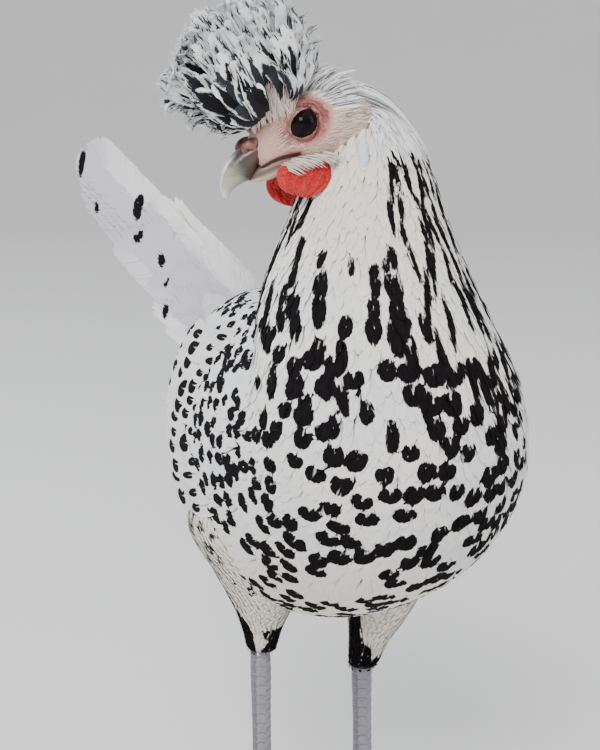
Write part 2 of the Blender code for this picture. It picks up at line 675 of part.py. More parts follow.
def make_leg(parts, side, name):
    """Thigh, scaled shank, four toes and four claws of one leg."""
    step = STANCE * -side
    foot = np.array((FOOT_AT[0] * side, FOOT_AT[1] + step, 0.0))
    across, ahead = np.array((1.0, 0.0, 0.0)), np.array((0.0, -1.0, 0.0))
    cuff = CUFF_Z[name]
    rings = []
    for q in np.linspace(0, len(THIGH) - 1, 8):
        x, y, z, half_width, half_length = along(THIGH, q)
        z = cuff + (z - THIGH[-1][2]) * (THIGH[0][2] - cuff) / (THIGH[0][2] - THIGH[-1][2])
        lag = step * min(1.0, max(0.0, (THIGH[0][2] - z) / 0.06))
        centre = (x * side, y + lag, z)
        rings.append(ring(centre, across, ahead, half_width, half_length, half_length, THIGH_SIDES))
    thigh = clear_of(add_mesh("thigh_" + name, closed(rings)), parts["torso"])

    def section(z, swell):
        place = np.interp(z, [row[0] for row in SHANK], range(len(SHANK)))
        half_width, half_length = along(SHANK, float(place))[1:]
        centre = foot + np.array((0.0, 0.002 * z / HOCK_Z, z))
        front, back = half_length + swell, half_length + swell * 0.5
        return ring(centre, across, ahead, half_width + swell * 0.5, front, back, SHANK_SIDES)

    rings = [section(z, 0.0) for z in (0.0, 0.0022, 0.0070, 0.0110, 0.0145)]
    pitch = (cuff - 0.0165 - 2 * MM) / SCUTES
    for i in range(SCUTES):
        rings.append(section(0.0165 + pitch * i, SCUTE_STEP))
        rings.append(section(0.0165 + pitch * (i + 0.7), 0.0))
    rings.append(section(cuff - GAP, 0.0))
    shank = add_mesh("shank_" + name, closed(rings))
    parts["thigh_" + name] = thigh
    parts["shank_" + name] = shank
    for toe_name, turn, length, radius in TOES:
        heading = math.radians(turn) * side
        way = np.array((math.sin(heading), -math.cos(heading), 0.0))
        across_toe = np.cross(way, UP)
        rings = []
        for s, big in TOE_PROFILE:
            r = radius * big
            centre = foot + way * (0.002 + length * s) + UP * (r - TOE_FLAT)
            points = ring(centre, across_toe, UP, r, r, r, TOE_SIDES)
            points[:, 2] = np.maximum(points[:, 2], 0.0)
            rings.append(points)
        toe = add_mesh("toe_%s_%s" % (toe_name, name), closed(rings))
        near = [shank] if toe_name in ("middle", "hallux") else [shank, parts["toe_middle_" + name]]
        parts["toe_%s_%s" % (toe_name, name)] = clear_of(toe, *near)
        base = foot + way * (0.002 + length + GAP) + UP * radius * 0.66
        rings = []
        for s in (0.0, 0.35, 0.7, 1.0):
            centre = base + way * CLAW_LENGTH * s + UP * (1.0 * s - 2.0 * s * s) * MM
            r = CLAW_RADIUS * (1 - 0.8 * s)
            rings.append(ring(centre, across_toe, UP, r * 0.8, r, r, 6))
        claw = "claw_%s_%s" % (toe_name, name)
        parts[claw] = add_mesh(claw, closed(rings))


def settle(parts):
    """Set the middle of the bird's bounding box over the origin."""
    for thing in parts.values():
        for vert in thing.data.vertices:
            vert.co.x -= BOX_CENTRE[0]
            vert.co.y -= BOX_CENTRE[1]
        thing.data.update()


def named(parts, *starts):
    return [thing for name, thing in parts.items() if name.startswith(starts)]


def colour(parts):
    paint(named(parts, "torso", "neck", "thigh"), "white_feather", WHITE_FEATHER, 0.85)
    paint(named(parts, "wing", "tail"), "pale_feather", PALE_FEATHER, 0.75, smooth=False)
    paint(named(parts, "crest"), "crest_feather", GREY_FEATHER, 0.85, smooth=False)
    paint(named(parts, "head"), "face_skin", CREAM_SKIN, 0.70)
    paint(named(parts, "upper_beak", "lower_beak"), "horn", HORN, 0.35)
    paint(named(parts, "eye"), "dark_eye", DARK_EYE, 0.08)
    paint(named(parts, "comb", "wattle"), "red_skin", RED_SKIN, 0.50)
    paint(named(parts, "earlobe"), "lobe_skin", LOBE, 0.60)
    paint(named(parts, "shank", "toe"), "slate_scale", SLATE, 0.45)
    paint(named(parts, "claw"), "claw_horn", CLAW, 0.35)


def main():
    remove_everything()
    torso, neck = make_trunk()
    parts = {"torso": torso, "neck": neck}
    make_head(parts)
    make_comb(parts)
    clear_of(neck, parts["head"])
    make_face(parts)
    make_crest(parts)
    for side, name in ((1, "left"), (-1, "right")):
        make_wing(parts, side, name)
        make_leg(parts, side, name)
    make_tail(parts)
    settle(parts)
    colour(parts)


main()
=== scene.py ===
"""Appenzeller Spitzhauben hen: skin, plumage, bill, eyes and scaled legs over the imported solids.

Shapes are worked out in the bird's own frame, as in the part's source, and moved by BOX_CENTRE at the end.
"""

import math

import bpy
import numpy as np
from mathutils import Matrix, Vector


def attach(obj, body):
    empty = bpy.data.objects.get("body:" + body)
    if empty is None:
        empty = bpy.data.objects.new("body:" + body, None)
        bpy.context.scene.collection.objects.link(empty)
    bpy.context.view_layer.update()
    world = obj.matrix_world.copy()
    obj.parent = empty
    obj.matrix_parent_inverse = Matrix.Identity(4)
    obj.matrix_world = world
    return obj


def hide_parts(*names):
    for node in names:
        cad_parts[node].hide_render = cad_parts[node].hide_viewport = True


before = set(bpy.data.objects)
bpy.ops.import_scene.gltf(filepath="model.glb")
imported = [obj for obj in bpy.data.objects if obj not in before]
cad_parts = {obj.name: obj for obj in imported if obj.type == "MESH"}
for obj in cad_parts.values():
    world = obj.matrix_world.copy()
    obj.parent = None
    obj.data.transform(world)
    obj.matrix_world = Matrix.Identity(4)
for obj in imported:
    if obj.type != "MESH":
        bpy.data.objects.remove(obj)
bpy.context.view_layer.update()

MM = 0.001
BOX_CENTRE = np.array((-0.01381, 0.05063, 0.0))
UP = np.array((0.0, 0.0, 1.0))
# Trunk and neck sections: x, y, z, lean in degrees, half width, height above and below the middle
TRUNK = (
    (0.000, 0.108, 0.195, -14, 0.0110, 0.0120, 0.0120),
    (0.000, 0.100, 0.187, -12, 0.0280, 0.0320, 0.0290),
    (0.000, 0.081, 0.174, -5, 0.0425, 0.0530, 0.0470),
    (0.000, 0.050, 0.165, 0, 0.0535, 0.0660, 0.0670),
    (-0.001, 0.014, 0.165, 3, 0.0590, 0.0680, 0.0705),
    (-0.001, -0.018, 0.173, 12, 0.0615, 0.0620, 0.0675),
    (-0.002, -0.037, 0.183, 32, 0.0610, 0.0590, 0.0600),
    (-0.006, -0.044, 0.203, 54, 0.0570, 0.0460, 0.0555),
    (-0.010, -0.039, 0.227, 74, 0.0490, 0.0370, 0.0490),
    (-0.0115, -0.035, 0.246, 85, 0.0405, 0.0320, 0.0410),
    (-0.0105, -0.0325, 0.266, 90, 0.0320, 0.0275, 0.0320),
    (-0.0090, -0.0325, 0.284, 90, 0.0255, 0.0210, 0.0235),
    (-0.0095, -0.0325, 0.298, 90, 0.0200, 0.0155, 0.0165),
    (-0.0110, -0.0325, 0.3075, 90, 0.0120, 0.0100, 0.0105),
)
FULLNESS = 2.05
# Head sections: ahead, up, half width, height above and below
HEAD = (
    (-0.0290, -0.006, 0.0060, 0.0055, 0.0070),
    (-0.0260, -0.006, 0.0105, 0.0100, 0.0130),
    (-0.0180, -0.003, 0.0138, 0.0135, 0.0180),
    (-0.0080, 0.000, 0.0146, 0.0125, 0.0200),
    (0.0000, 0.000, 0.0138, 0.0115, 0.0190),
    (0.0080, -0.001, 0.0116, 0.0110, 0.0140),
    (0.0150, -0.003, 0.0090, 0.0105, 0.0100),
    (0.0205, -0.004, 0.0066, 0.0068, 0.0072),
)
HEAD_AT = np.array((-0.0397, -0.0292, 0.3026))
HEAD_YAW, HEAD_PITCH = 100.0, -24.0
# Bill sections: ahead, up, droop in degrees, half width, height above and below
UPPER_BILL = (
    (0.0170, -0.0028, 0, 0.0058, 0.0040, 0.0040),
    (0.0205, -0.0025, 0, 0.0060, 0.0040, 0.0050),
    (0.0255, -0.0032, 15, 0.0053, 0.0037, 0.0072),
    (0.0300, -0.0055, 32, 0.0043, 0.0036, 0.0070),
    (0.0335, -0.0086, 50, 0.0031, 0.0030, 0.0046),
    (0.0358, -0.0116, 65, 0.0018, 0.0019, 0.0021),
    (0.0369, -0.0141, 72, 0.0007, 0.0007, 0.0007),
)
LOWER_BILL = (
    (0.0090, -0.0118, 0, 0.0052, 0.0050, 0.0030),
    (0.0150, -0.0120, -2, 0.0050, 0.0052, 0.0030),
    (0.0195, -0.0122, -4, 0.0042, 0.0050, 0.0024),
    (0.0230, -0.0120, -6, 0.0028, 0.0036, 0.0016),
    (0.0256, -0.0118, -6, 0.0012, 0.0009, 0.0008),
)
EYE_AT = (0.0002, 0.0077, 0.0008)
EYE_RADIUS = 6.6 * MM
# Half the eye's opening between the lids, mm
OPENING = 4.95
# Thigh sections: x, y, z, half width, half depth
THIGH = (
    (0.0300, 0.020, 0.152, 0.0215, 0.0270),
    (0.0330, 0.023, 0.134, 0.0230, 0.0300),
    (0.0288, 0.022, 0.114, 0.0164, 0.0225),
    (0.0250, 0.024, 0.097, 0.0106, 0.0145),
    (0.0228, 0.028, 0.085, 0.0072, 0.0090),
    (0.0215, 0.031, 0.074, 0.0052, 0.0060),
)
# Folded wing over the trunk: q, half angle in degrees, thickness in mm
WING_PAD = (
    (6.0, 12, 0.9),
    (5.4, 25, 1.3),
    (4.4, 33, 1.7),
    (3.4, 32, 1.7),
    (2.5, 26, 1.5),
    (2.0, 14, 1.3),
)
FOOT_AT = (0.0215, 0.0300)
HOCK_Z = 74 * MM
STANCE = 6 * MM
CUFF_Z = {"left": 66 * MM, "right": 76 * MM}
# Shank sections: z, half width, half depth
SHANK = (
    (0.0000, 0.0052, 0.0055),
    (0.0022, 0.0070, 0.0072),
    (0.0070, 0.0072, 0.0074),
    (0.0120, 0.0056, 0.0058),
    (0.0170, 0.0043, 0.0047),
    (0.0340, 0.0038, 0.0043),
    (0.0520, 0.0039, 0.0045),
    (0.0620, 0.0041, 0.0049),
    (0.0680, 0.0041, 0.0051),
    (0.0760, 0.0039, 0.0050),
)
# Toes: name, heading in degrees, length and radius in mm
TOES = (
    ("middle", -4, 50.0, 3.7),
    ("inner", -26, 33.0, 3.4),
    ("outer", 30, 40.0, 3.3),
    ("hallux", 168, 19.0, 3.0),
)
SIDES = ((1, "left"), (-1, "right"))
SKIN_DEPTH = 4.5 * MM
# How large a vane's patch is on the OFBake map
PATCH = 0.003
CAMERA_AIM = (-0.0224, 0.0, 0.2002)
CAMERA_TURN, CAMERA_RISE, CAMERA_AWAY = -28.0, 9.0, 0.87
LENS = 103.2
# Side of the cubes that points and marks are sorted into
CELL = 12 * MM


# Numbers and shapes


def unit(v):
    """Vectors divided by their lengths."""
    v = np.asarray(v, float)
    return v / np.maximum(np.linalg.norm(v, axis=-1, keepdims=True), 1e-12)


def smooth(low, high, x):
    """0 below low and 1 above high, with 3 f squared less 2 f cubed between; high may be the lower."""
    f = np.clip((np.asarray(x, float) - low) / (high - low), 0, 1)
    return f * f * (3 - 2 * f)


def hill(x, middle, width):
    """A bell: e to the power of less the square of (x less middle) over width."""
    return np.exp(-(((np.asarray(x) - middle) / width) ** 2))


def along(table, q):
    """Rows of a table at real-valued places q: a cubic through the rows on either side."""
    rows = np.array(table, float)
    last = len(rows) - 1
    q = np.clip(np.asarray(q, float), 0.0, last)
    i = np.minimum(q.astype(int), last - 1)
    f = (q - i)[..., None]
    here, there = rows[i], rows[i + 1]
    before, after = rows[np.maximum(i - 1, 0)], rows[np.minimum(i + 2, last)]
    leave, arrive = (there - before) / 2, (after - here) / 2
    f2, f3 = f * f, f * f * f
    start, end = (2 * f3 - 3 * f2 + 1) * here, (3 * f2 - 2 * f3) * there
    return start + end + (f3 - 2 * f2 + f) * leave + (f3 - f2) * arrive


def row_at(table, value):
    """Where among a table's rows its first column reaches a value, by straight lines between them."""
    return np.interp(value, np.array(table)[:, 0], np.arange(len(table)))


def signed_power(x, p):
    """The size of x to the power p, with the sign of x."""
    return np.sign(x) * np.abs(x) ** p


def sin_cos(turn):
    """Sine and cosine of degrees."""
    return np.sin(np.radians(turn)), np.cos(np.radians(turn))


def once_round(sides):
    """Even turns once round a section, in degrees."""
    return np.arange(sides) * 360.0 / sides


def by_turns(count):
    """The two sides, 1 and -1, by turns."""
    return 1 - 2 * (np.arange(count) % 2)


def net(last, rows, sides):
    """The places from 0 to last along a limb and the turns round it, as a grid of rows and sides."""
    return np.meshgrid(np.linspace(0, last, rows), once_round(sides), indexing="ij")


def bezier(s, *points):
    """A Bezier curve from its first point to its last, bent by those between."""
    n = len(points) - 1
    return sum(math.comb(n, k) * s**k * (1 - s) ** (n - k) * point for k, point in enumerate(points))


def trunk(q, turn):
    """The trunk's skin: the egg-shaped section at q, turn degrees from its top round by the left."""
    q, turn = np.broadcast_arrays(q, turn)
    row = along(TRUNK, q)
    lean = np.radians(row[..., 3])
    up = np.stack((np.zeros_like(lean), np.sin(lean), np.cos(lean)), -1)
    s, c = sin_cos(turn)
    reach = np.where(c >= 0, row[..., 5], row[..., 6])
    across = signed_power(s, 2 / FULLNESS) * row[..., 4]
    high = signed_power(c, 2 / FULLNESS) * reach
    return row[..., :3] + across[..., None] * np.array((1.0, 0.0, 0.0)) + high[..., None] * up


def head_axes():
    """The head's ways ahead, left and up: the body's own, turned by the yaw and tipped by the pitch."""
    yaw, pitch = math.radians(HEAD_YAW), math.radians(HEAD_PITCH)
    level = np.array((-math.sin(yaw), -math.cos(yaw), 0.0))
    left = np.array((math.cos(yaw), -math.sin(yaw), 0.0))
    ahead = level * math.cos(pitch) + UP * math.sin(pitch)
    return ahead, left, np.cross(ahead, left)


AHEAD, LEFT, RISE = head_axes()


def in_head(ahead, left, up):
    """Places so far ahead, left and up of the head's middle, in the bird's own frame."""
    ahead, left, up = np.broadcast_arrays(ahead, left, up)
    return HEAD_AT + ahead[..., None] * AHEAD + left[..., None] * LEFT + up[..., None] * RISE


def head_local(points):
    """How far ahead, left and up points lie in the head's own frame."""
    away = np.asarray(points) - HEAD_AT
    return away @ AHEAD, away @ LEFT, away @ RISE


def head(q, turn):
    """The head's skin: the egg-shaped section at q, turn degrees from its top round by the left."""
    q, turn = np.broadcast_arrays(q, turn)
    row = along(HEAD, q)
    s, c = sin_cos(turn)
    reach = np.where(c >= 0, row[..., 3], row[..., 4])
    return in_head(row[..., 0], s * row[..., 2], row[..., 1] + c * reach)


def thigh(side):
    """The skin of one thigh, as a function of the place along it and the turn round it."""
    name = "left" if side == 1 else "right"
    cuff, top, low = CUFF_Z[name], THIGH[0][2], THIGH[-1][2]
    step = -STANCE * side

    def place(q, turn):
        """An ellipse at q, its height stretched to the cuff and its middle lagging back as it descends."""
        q, turn = np.broadcast_arrays(q, turn)
        row = along(THIGH, q)
        z = cuff + (row[..., 2] - low) * (top - cuff) / (top - low)
        lag = step * np.clip((top - z) / 0.06, 0, 1)
        s, c = sin_cos(turn)
        x = row[..., 0] * side + s * row[..., 3]
        return np.stack((x, row[..., 1] + lag - c * row[..., 4], z), -1)

    return place


def way_out(surface, q, turn):
    """The outward normal of a surface, from the differences of nearby points."""
    forward = surface(q + 0.03, turn) - surface(q - 0.03, turn)
    around = surface(q, turn + 1.5) - surface(q, turn - 1.5)
    return unit(np.cross(forward, around))


def coat(q, turn):
    """The trunk's skin swollen over both wings: at each q an arch of the pad's thickness and half angle."""
    q, turn = np.broadcast_arrays(q, turn)
    pad = np.array(WING_PAD)[::-1]
    half = np.interp(q, pad[:, 0], pad[:, 1])
    thick = np.interp(q, pad[:, 0], pad[:, 2]) * smooth(1.4, 2.2, q) * smooth(6.7, 5.7, q)
    round_by = np.minimum(np.abs(turn % 360 - 74), np.abs(turn % 360 - 286)) / half
    swell = thick * np.maximum(1 - round_by**2, 0) * MM
    return trunk(q, turn) + way_out(trunk, np.clip(q, 0.05, 12.95), turn) * swell[..., None]


# Meshes


def add_object(name, data):
    """A new object with its data, in the scene."""
    thing = bpy.data.objects.new(name, data)
    bpy.context.scene.collection.objects.link(thing)
    return thing


def add_mesh(name, points, faces, uvs=None, values=None):
    """A mesh object from points and arrays of triangles and quads, with UV maps and point values."""
    mesh = bpy.data.meshes.new(name)
    points = np.asarray(points, float) - BOX_CENTRE
    groups = [np.asarray(f, np.int32) for f in faces if len(f)]
    loops = np.concatenate([f.ravel() for f in groups])
    sizes = np.concatenate([np.full(len(f), f.shape[1]) for f in groups])
    starts = np.concatenate(([0], np.cumsum(sizes)[:-1]))
    mesh.vertices.add(len(points))
    mesh.vertices.foreach_set("co", points.ravel())
    mesh.loops.add(len(loops))
    mesh.loops.foreach_set("vertex_index", loops)
    mesh.polygons.add(len(sizes))
    mesh.polygons.foreach_set("loop_start", starts.astype(np.int32))
    mesh.polygons.foreach_set("use_smooth", np.ones(len(sizes), bool))
    for key, places in (uvs or {}).items():
        layer = mesh.uv_layers.new(name=key)
        layer.data.foreach_set("uv", np.asarray(places, float)[loops].ravel())
    for key, amounts in (values or {}).items():
        attribute = mesh.attributes.new(key, "FLOAT", "POINT")
        attribute.data.foreach_set("value", np.asarray(amounts, float))
    mesh.update(calc_edges=True)
    mesh.validate()
    return add_object(name, mesh)


def volume(points, faces):
    """Six times the space inside faces, less than nothing where they point inward."""
    total = 0.0
    middle = points.mean(axis=0)
    for group in faces:
        for k in range(1, group.shape[1] - 1):
            a, b, c = (points[group[:, i]] - middle for i in (0, k, k + 1))
            total += np.einsum("ij,ij->", a, np.cross(b, c))
    return total


def ring_faces(rows, sides):
    """Quads between each ring of points and the next."""
    k, start = np.arange(sides), np.arange(rows - 1)[:, None] * sides
    a, b = start + k, start + (k + 1) % sides
    return np.stack((a, b, b + sides, a + sides), -1).reshape(-1, 4)


def loft(rings, push=(0.0, 0.0)):
    """Points, faces and UVs of a closed skin over rings, with a hub at each end, faces outward."""
    rings = np.asarray(rings, float)
    rows, sides = rings.shape[:2]
    ends = rings[[0, -1]].mean(axis=1)
    hubs = ends + (ends - rings[[1, -2]].mean(axis=1)) * np.array(push)[:, None]
    points = np.concatenate((rings.reshape(-1, 3), hubs))
    k = np.arange(sides)
    first = np.stack(((k + 1) % sides, k, np.full(sides, rows * sides)), -1)
    last = np.stack((k, (k + 1) % sides, np.full(sides, rows * sides + 1)), -1)
    last[:, :2] += (rows - 1) * sides
    faces = [ring_faces(rows, sides), np.concatenate((first, last))]
    if volume(points, faces) < 0:
        faces = [f[:, ::-1] for f in faces]
    u = np.repeat(np.linspace(0.03, 0.97, rows), sides)
    v = np.tile(np.abs(np.linspace(-0.94, 0.94, sides)) * 0.5 + 0.03, rows)
    uv = np.concatenate((np.stack((u, v), -1), ((0.01, 0.25), (0.99, 0.25))))
    return points, faces, uv


def join_shapes(shapes):
    """Several point and face sets as one, with their UVs laid side by side."""
    points, quads, tris, uvs = [], [], [], []
    base = 0
    for i, (p, faces, uv) in enumerate(shapes):
        points.append(p)
        for f in faces:
            (quads if f.shape[1] == 4 else tris).append(f + base)
        uvs.append(uv * (1.0 / len(shapes), 1.0) + (i / len(shapes), 0.0))
        base += len(p)
    faces = [np.concatenate(g) for g in (quads, tris) if g]
    return np.concatenate(points), faces, np.concatenate(uvs)


def vanes(
    name, line, face, half, thick, stations, bow=0.1, tilt=0.0,
    root_uv=None, values=None, marked=None, ease=0.0
):
    """Many feathers as one mesh: each a thin closed strip along its line, its edges bowed away from face.

    Where marked is given, each point knows how deep in a mark it lies; ease turns the shading's
    normals from the strip's own towards face, as the barbs of one feather run into the next.
    """
    count, stops = line.shape[:2]
    way = unit(np.gradient(line, axis=1))
    across = unit(np.cross(way, face))
    up = np.cross(across, way)
    lean = np.broadcast_to(np.asarray(tilt, float), (count,))[:, None, None]
    across, up = turned_by(lean, across, up)
    half = np.broadcast_to(half, (count, stops))[..., None]
    thick = np.broadcast_to(thick, (count, stops))[..., None] / 2
    bow = np.broadcast_to(np.asarray(bow, float), (count,))[:, None, None]
    edge, drop = across * half, -up * half * bow
    parts = (-edge + up * thick * 0.3 + drop, up * thick, edge + up * thick * 0.3 + drop)
    parts += (edge - up * thick * 0.3 + drop, -up * thick, -edge - up * thick * 0.3 + drop)
    points = np.stack([line + p for p in parts], 2).reshape(-1, 3)
    root, tip = np.array(((0, 5, 4, 1), (1, 4, 3, 2))), np.array(((0, 1, 4, 5), (1, 2, 3, 4)))
    strip = np.concatenate((ring_faces(stops, 6), root, tip + (stops - 1) * 6))
    if volume(points[: stops * 6], [strip]) < 0:
        strip = strip[:, ::-1]
    quads = (strip[None] + (np.arange(count) * stops * 6)[:, None, None]).reshape(-1, 4)
    x = 0.5 + 0.5 * np.array((-1, 0, 1, 1, 0, -1))[None, None, :] * half / half.max(axis=1, keepdims=True)
    y = np.broadcast_to(np.asarray(stations)[None, :, None], x.shape)
    vane_uv = np.stack((x, y), -1).reshape(-1, 2)
    if root_uv is None:
        root_uv = np.stack((np.full(count, 0.5), np.linspace(0.02, 0.98, count)), -1)
    patch = (vane_uv.reshape(count, -1, 2) - 0.5) * PATCH + np.asarray(root_uv)[:, None, :]
    spread_out = {k: np.repeat(np.broadcast_to(v, (count,)), stops * 6) for k, v in (values or {}).items()}
    uvs = {"OFBake": patch.reshape(-1, 2), "vane": vane_uv}
    if marked:
        spread_out["mark"] = inside(marked, points)
    piece = add_mesh(name, points, [quads], uvs, spread_out)
    ends = np.empty(2 * len(piece.data.edges), np.int32)
    piece.data.edges.foreach_get("vertices", ends)
    first, second = ends[::2], ends[1::2]
    rim = (first % 6 == second % 6) & (first % 3 != 1)
    sharp = piece.data.attributes.new("sharp_edge", "BOOLEAN", "EDGE")
    sharp.data.foreach_set("value", rim)
    if ease:
        upper = np.array((1, 1, 1, -1, -1, -1))[:, None]
        own = up[:, :, None] + across[:, :, None] * upper * np.array((-0.5, 0, 0.5, 0.5, 0, -0.5))[:, None]
        normals = unit(own * (1 - ease) + face[:, :, None] * ease) * upper
        piece.data.normals_split_custom_set_from_vertices(normals.reshape(-1, 3))
    return piece


def scatter(surface, q_range, turn_range, gap, tries, seed):
    """Roots spread over a surface, thrown evenly over its area, no two nearer than gap(q, turn)."""
    draw = np.random.default_rng(seed)
    q, turn = draw.uniform(*q_range, tries), draw.uniform(*turn_range, tries)
    by_q = surface(q + 0.02, turn) - surface(q - 0.02, turn)
    by_turn = surface(q, turn + 1) - surface(q, turn - 1)
    area = np.linalg.norm(np.cross(by_q, by_turn), axis=1)
    on = draw.uniform(0, np.quantile(area, 0.98), tries) < area
    q, turn = q[on], turn[on]
    places, gaps = surface(q, turn), gap(q, turn)
    cell = float(gaps.max())
    filled, kept = {}, []
    near = [(i, j, k) for i in (-1, 0, 1) for j in (-1, 0, 1) for k in (-1, 0, 1)]
    for n, (p, key, apart) in enumerate(zip(places, np.floor(places / cell).astype(int).tolist(), gaps)):
        around = [m for i, j, k in near for m in filled.get((key[0] + i, key[1] + j, key[2] + k), ())]
        if around and ((places[around] - p) ** 2).sum(axis=1).min() < apart * apart:
            continue
        filled.setdefault(tuple(key), []).append(n)
        kept.append(n)
    return q[kept], turn[kept]


def lay(surface, q, turn, length, stations, lift, stop=0.0, drift=0.0):
    """Lines along a surface towards lower q and past its end, lifted off it, with their ways out."""
    q, turn = q.copy(), turn.copy()
    over = np.zeros_like(q)
    lines, ways = [], []
    lift = np.asarray(lift, float)
    rise = np.broadcast_to(lift, (len(q), len(stations))) if lift.ndim < 2 else lift
    for k, s in enumerate(stations):
        if k:
            for _ in range(3):
                step = length * (s - stations[k - 1]) / 3
                slope = np.linalg.norm(surface(q + 0.02, turn) - surface(q - 0.02, turn), axis=1) / 0.04
                lower = q - step / slope
                over += np.maximum(stop - lower, 0) * slope
                q = np.maximum(lower, stop)
                turn = turn + drift * step
        out = way_out(surface, q, turn)
        onward = unit(surface(q - 0.02, turn) - surface(q + 0.02, turn))
        lines.append(surface(q, turn) + out * rise[:, k, None] + onward * over[:, None])
        ways.append(out)
    return np.stack(lines, 1), np.stack(ways, 1)


def marks(surface, q, turn, half, long, cleft, slant=0.0):
    """Black marks on a surface: each one's place, ways down the lie, across it and out, half sizes in mm."""
    out = way_out(surface, q, turn)
    down = unit(surface(q - 0.03, turn) - surface(q + 0.03, turn))
    across = np.cross(out, down)
    slant = np.broadcast_to(slant, q.shape)[:, None]
    down, across = turned_by(slant, down, across)
    sizes = {"half": half, "long": long, "cleft": np.broadcast_to(cleft, q.shape)}
    return {"place": surface(q, turn), "down": down, "across": across, "out": out, **sizes}


def turned_by(angle, first, second):
    """Two square ways turned towards each other in their own plane."""
    s, c = np.sin(angle), np.cos(angle)
    return first * c + second * s, second * c - first * s


def inside(marked, points):
    """How deep in the nearest mark each point lies, in mm, less than nothing outside.

    A mark is two egg lobes side by side and a third between them nearer the tip, parted on the root
    side by a wedge. Points are taken cell by cell, against the marks near each cell, and are first
    shifted by short waves, which makes the outlines uneven.
    """
    waves = np.array(((410.0, -230.0, 350.0), (-310.0, 420.0, 260.0), (280.0, 330.0, -430.0)))
    shaken = points + 0.35 * MM * np.sin(points @ waves.T + (0.4, 1.9, 3.1))
    reach = np.maximum(marked["half"], marked["long"]) * MM + CELL
    cells = np.floor(points / CELL).astype(int)
    order = np.lexsort(cells.T)
    starts = np.flatnonzero(np.diff(cells[order], axis=0).any(axis=1)) + 1
    deepest = np.full(len(points), -4.0)
    for group in np.split(order, starts):
        middle = (cells[group[0]] + 0.5) * CELL
        near = np.flatnonzero(np.linalg.norm(marked["place"] - middle, axis=1) < reach)
        if not len(near):
            continue
        away = (shaken[group][:, None] - marked["place"][near]) / MM
        ways = ("across", "down", "out")
        across, down, out = (np.einsum("pmi,mi->pm", away, marked[k][near]) for k in ways)
        half, long, cleft = (marked[k][near] for k in ("half", "long", "cleft"))
        x, y = np.abs(across) / half, down / long
        lobes = 1 - np.hypot((x - 0.42 * cleft) / (1 - 0.42 * cleft), (y + 0.1) / 0.9)
        middle_lobe = 1 - np.hypot(x / 0.82, (y - 0.25) / 0.75)
        depth = np.maximum(lobes, middle_lobe) * np.minimum(half, long)
        wedge = np.abs(across) + 0.17 * cleft * half * (y - 0.1) + 3 * (1 - np.minimum(cleft * 4, 1))
        depth = np.minimum(depth, np.where(y < 0.1, wedge, 9)) - np.maximum(np.abs(out) - 5, 0)
        deepest[group] = np.maximum(depth.max(axis=1), -4.0)
    return deepest


def all_marks(groups):
    """Several sets of marks as one."""
    return {key: np.concatenate([g[key] for g in groups]) for key in groups[0]}


# Finishes


class Amount:
    """A value that a node gives; each sign of arithmetic on it makes one more node of that sign."""

    def __init__(self, recipe, socket):
        self.recipe, self.socket = recipe, socket

    def __add__(self, other):
        return self.recipe.math("ADD", self, other)

    def __sub__(self, other):
        return self.recipe.math("SUBTRACT", self, other)

    def __mul__(self, other):
        return self.recipe.math("MULTIPLY", self, other)

    def __truediv__(self, other):
        return self.recipe.math("DIVIDE", self, other)

    def __pow__(self, other):
        return self.recipe.math("POWER", self, other)

    def __abs__(self):
        return self.recipe.math("ABSOLUTE", self)


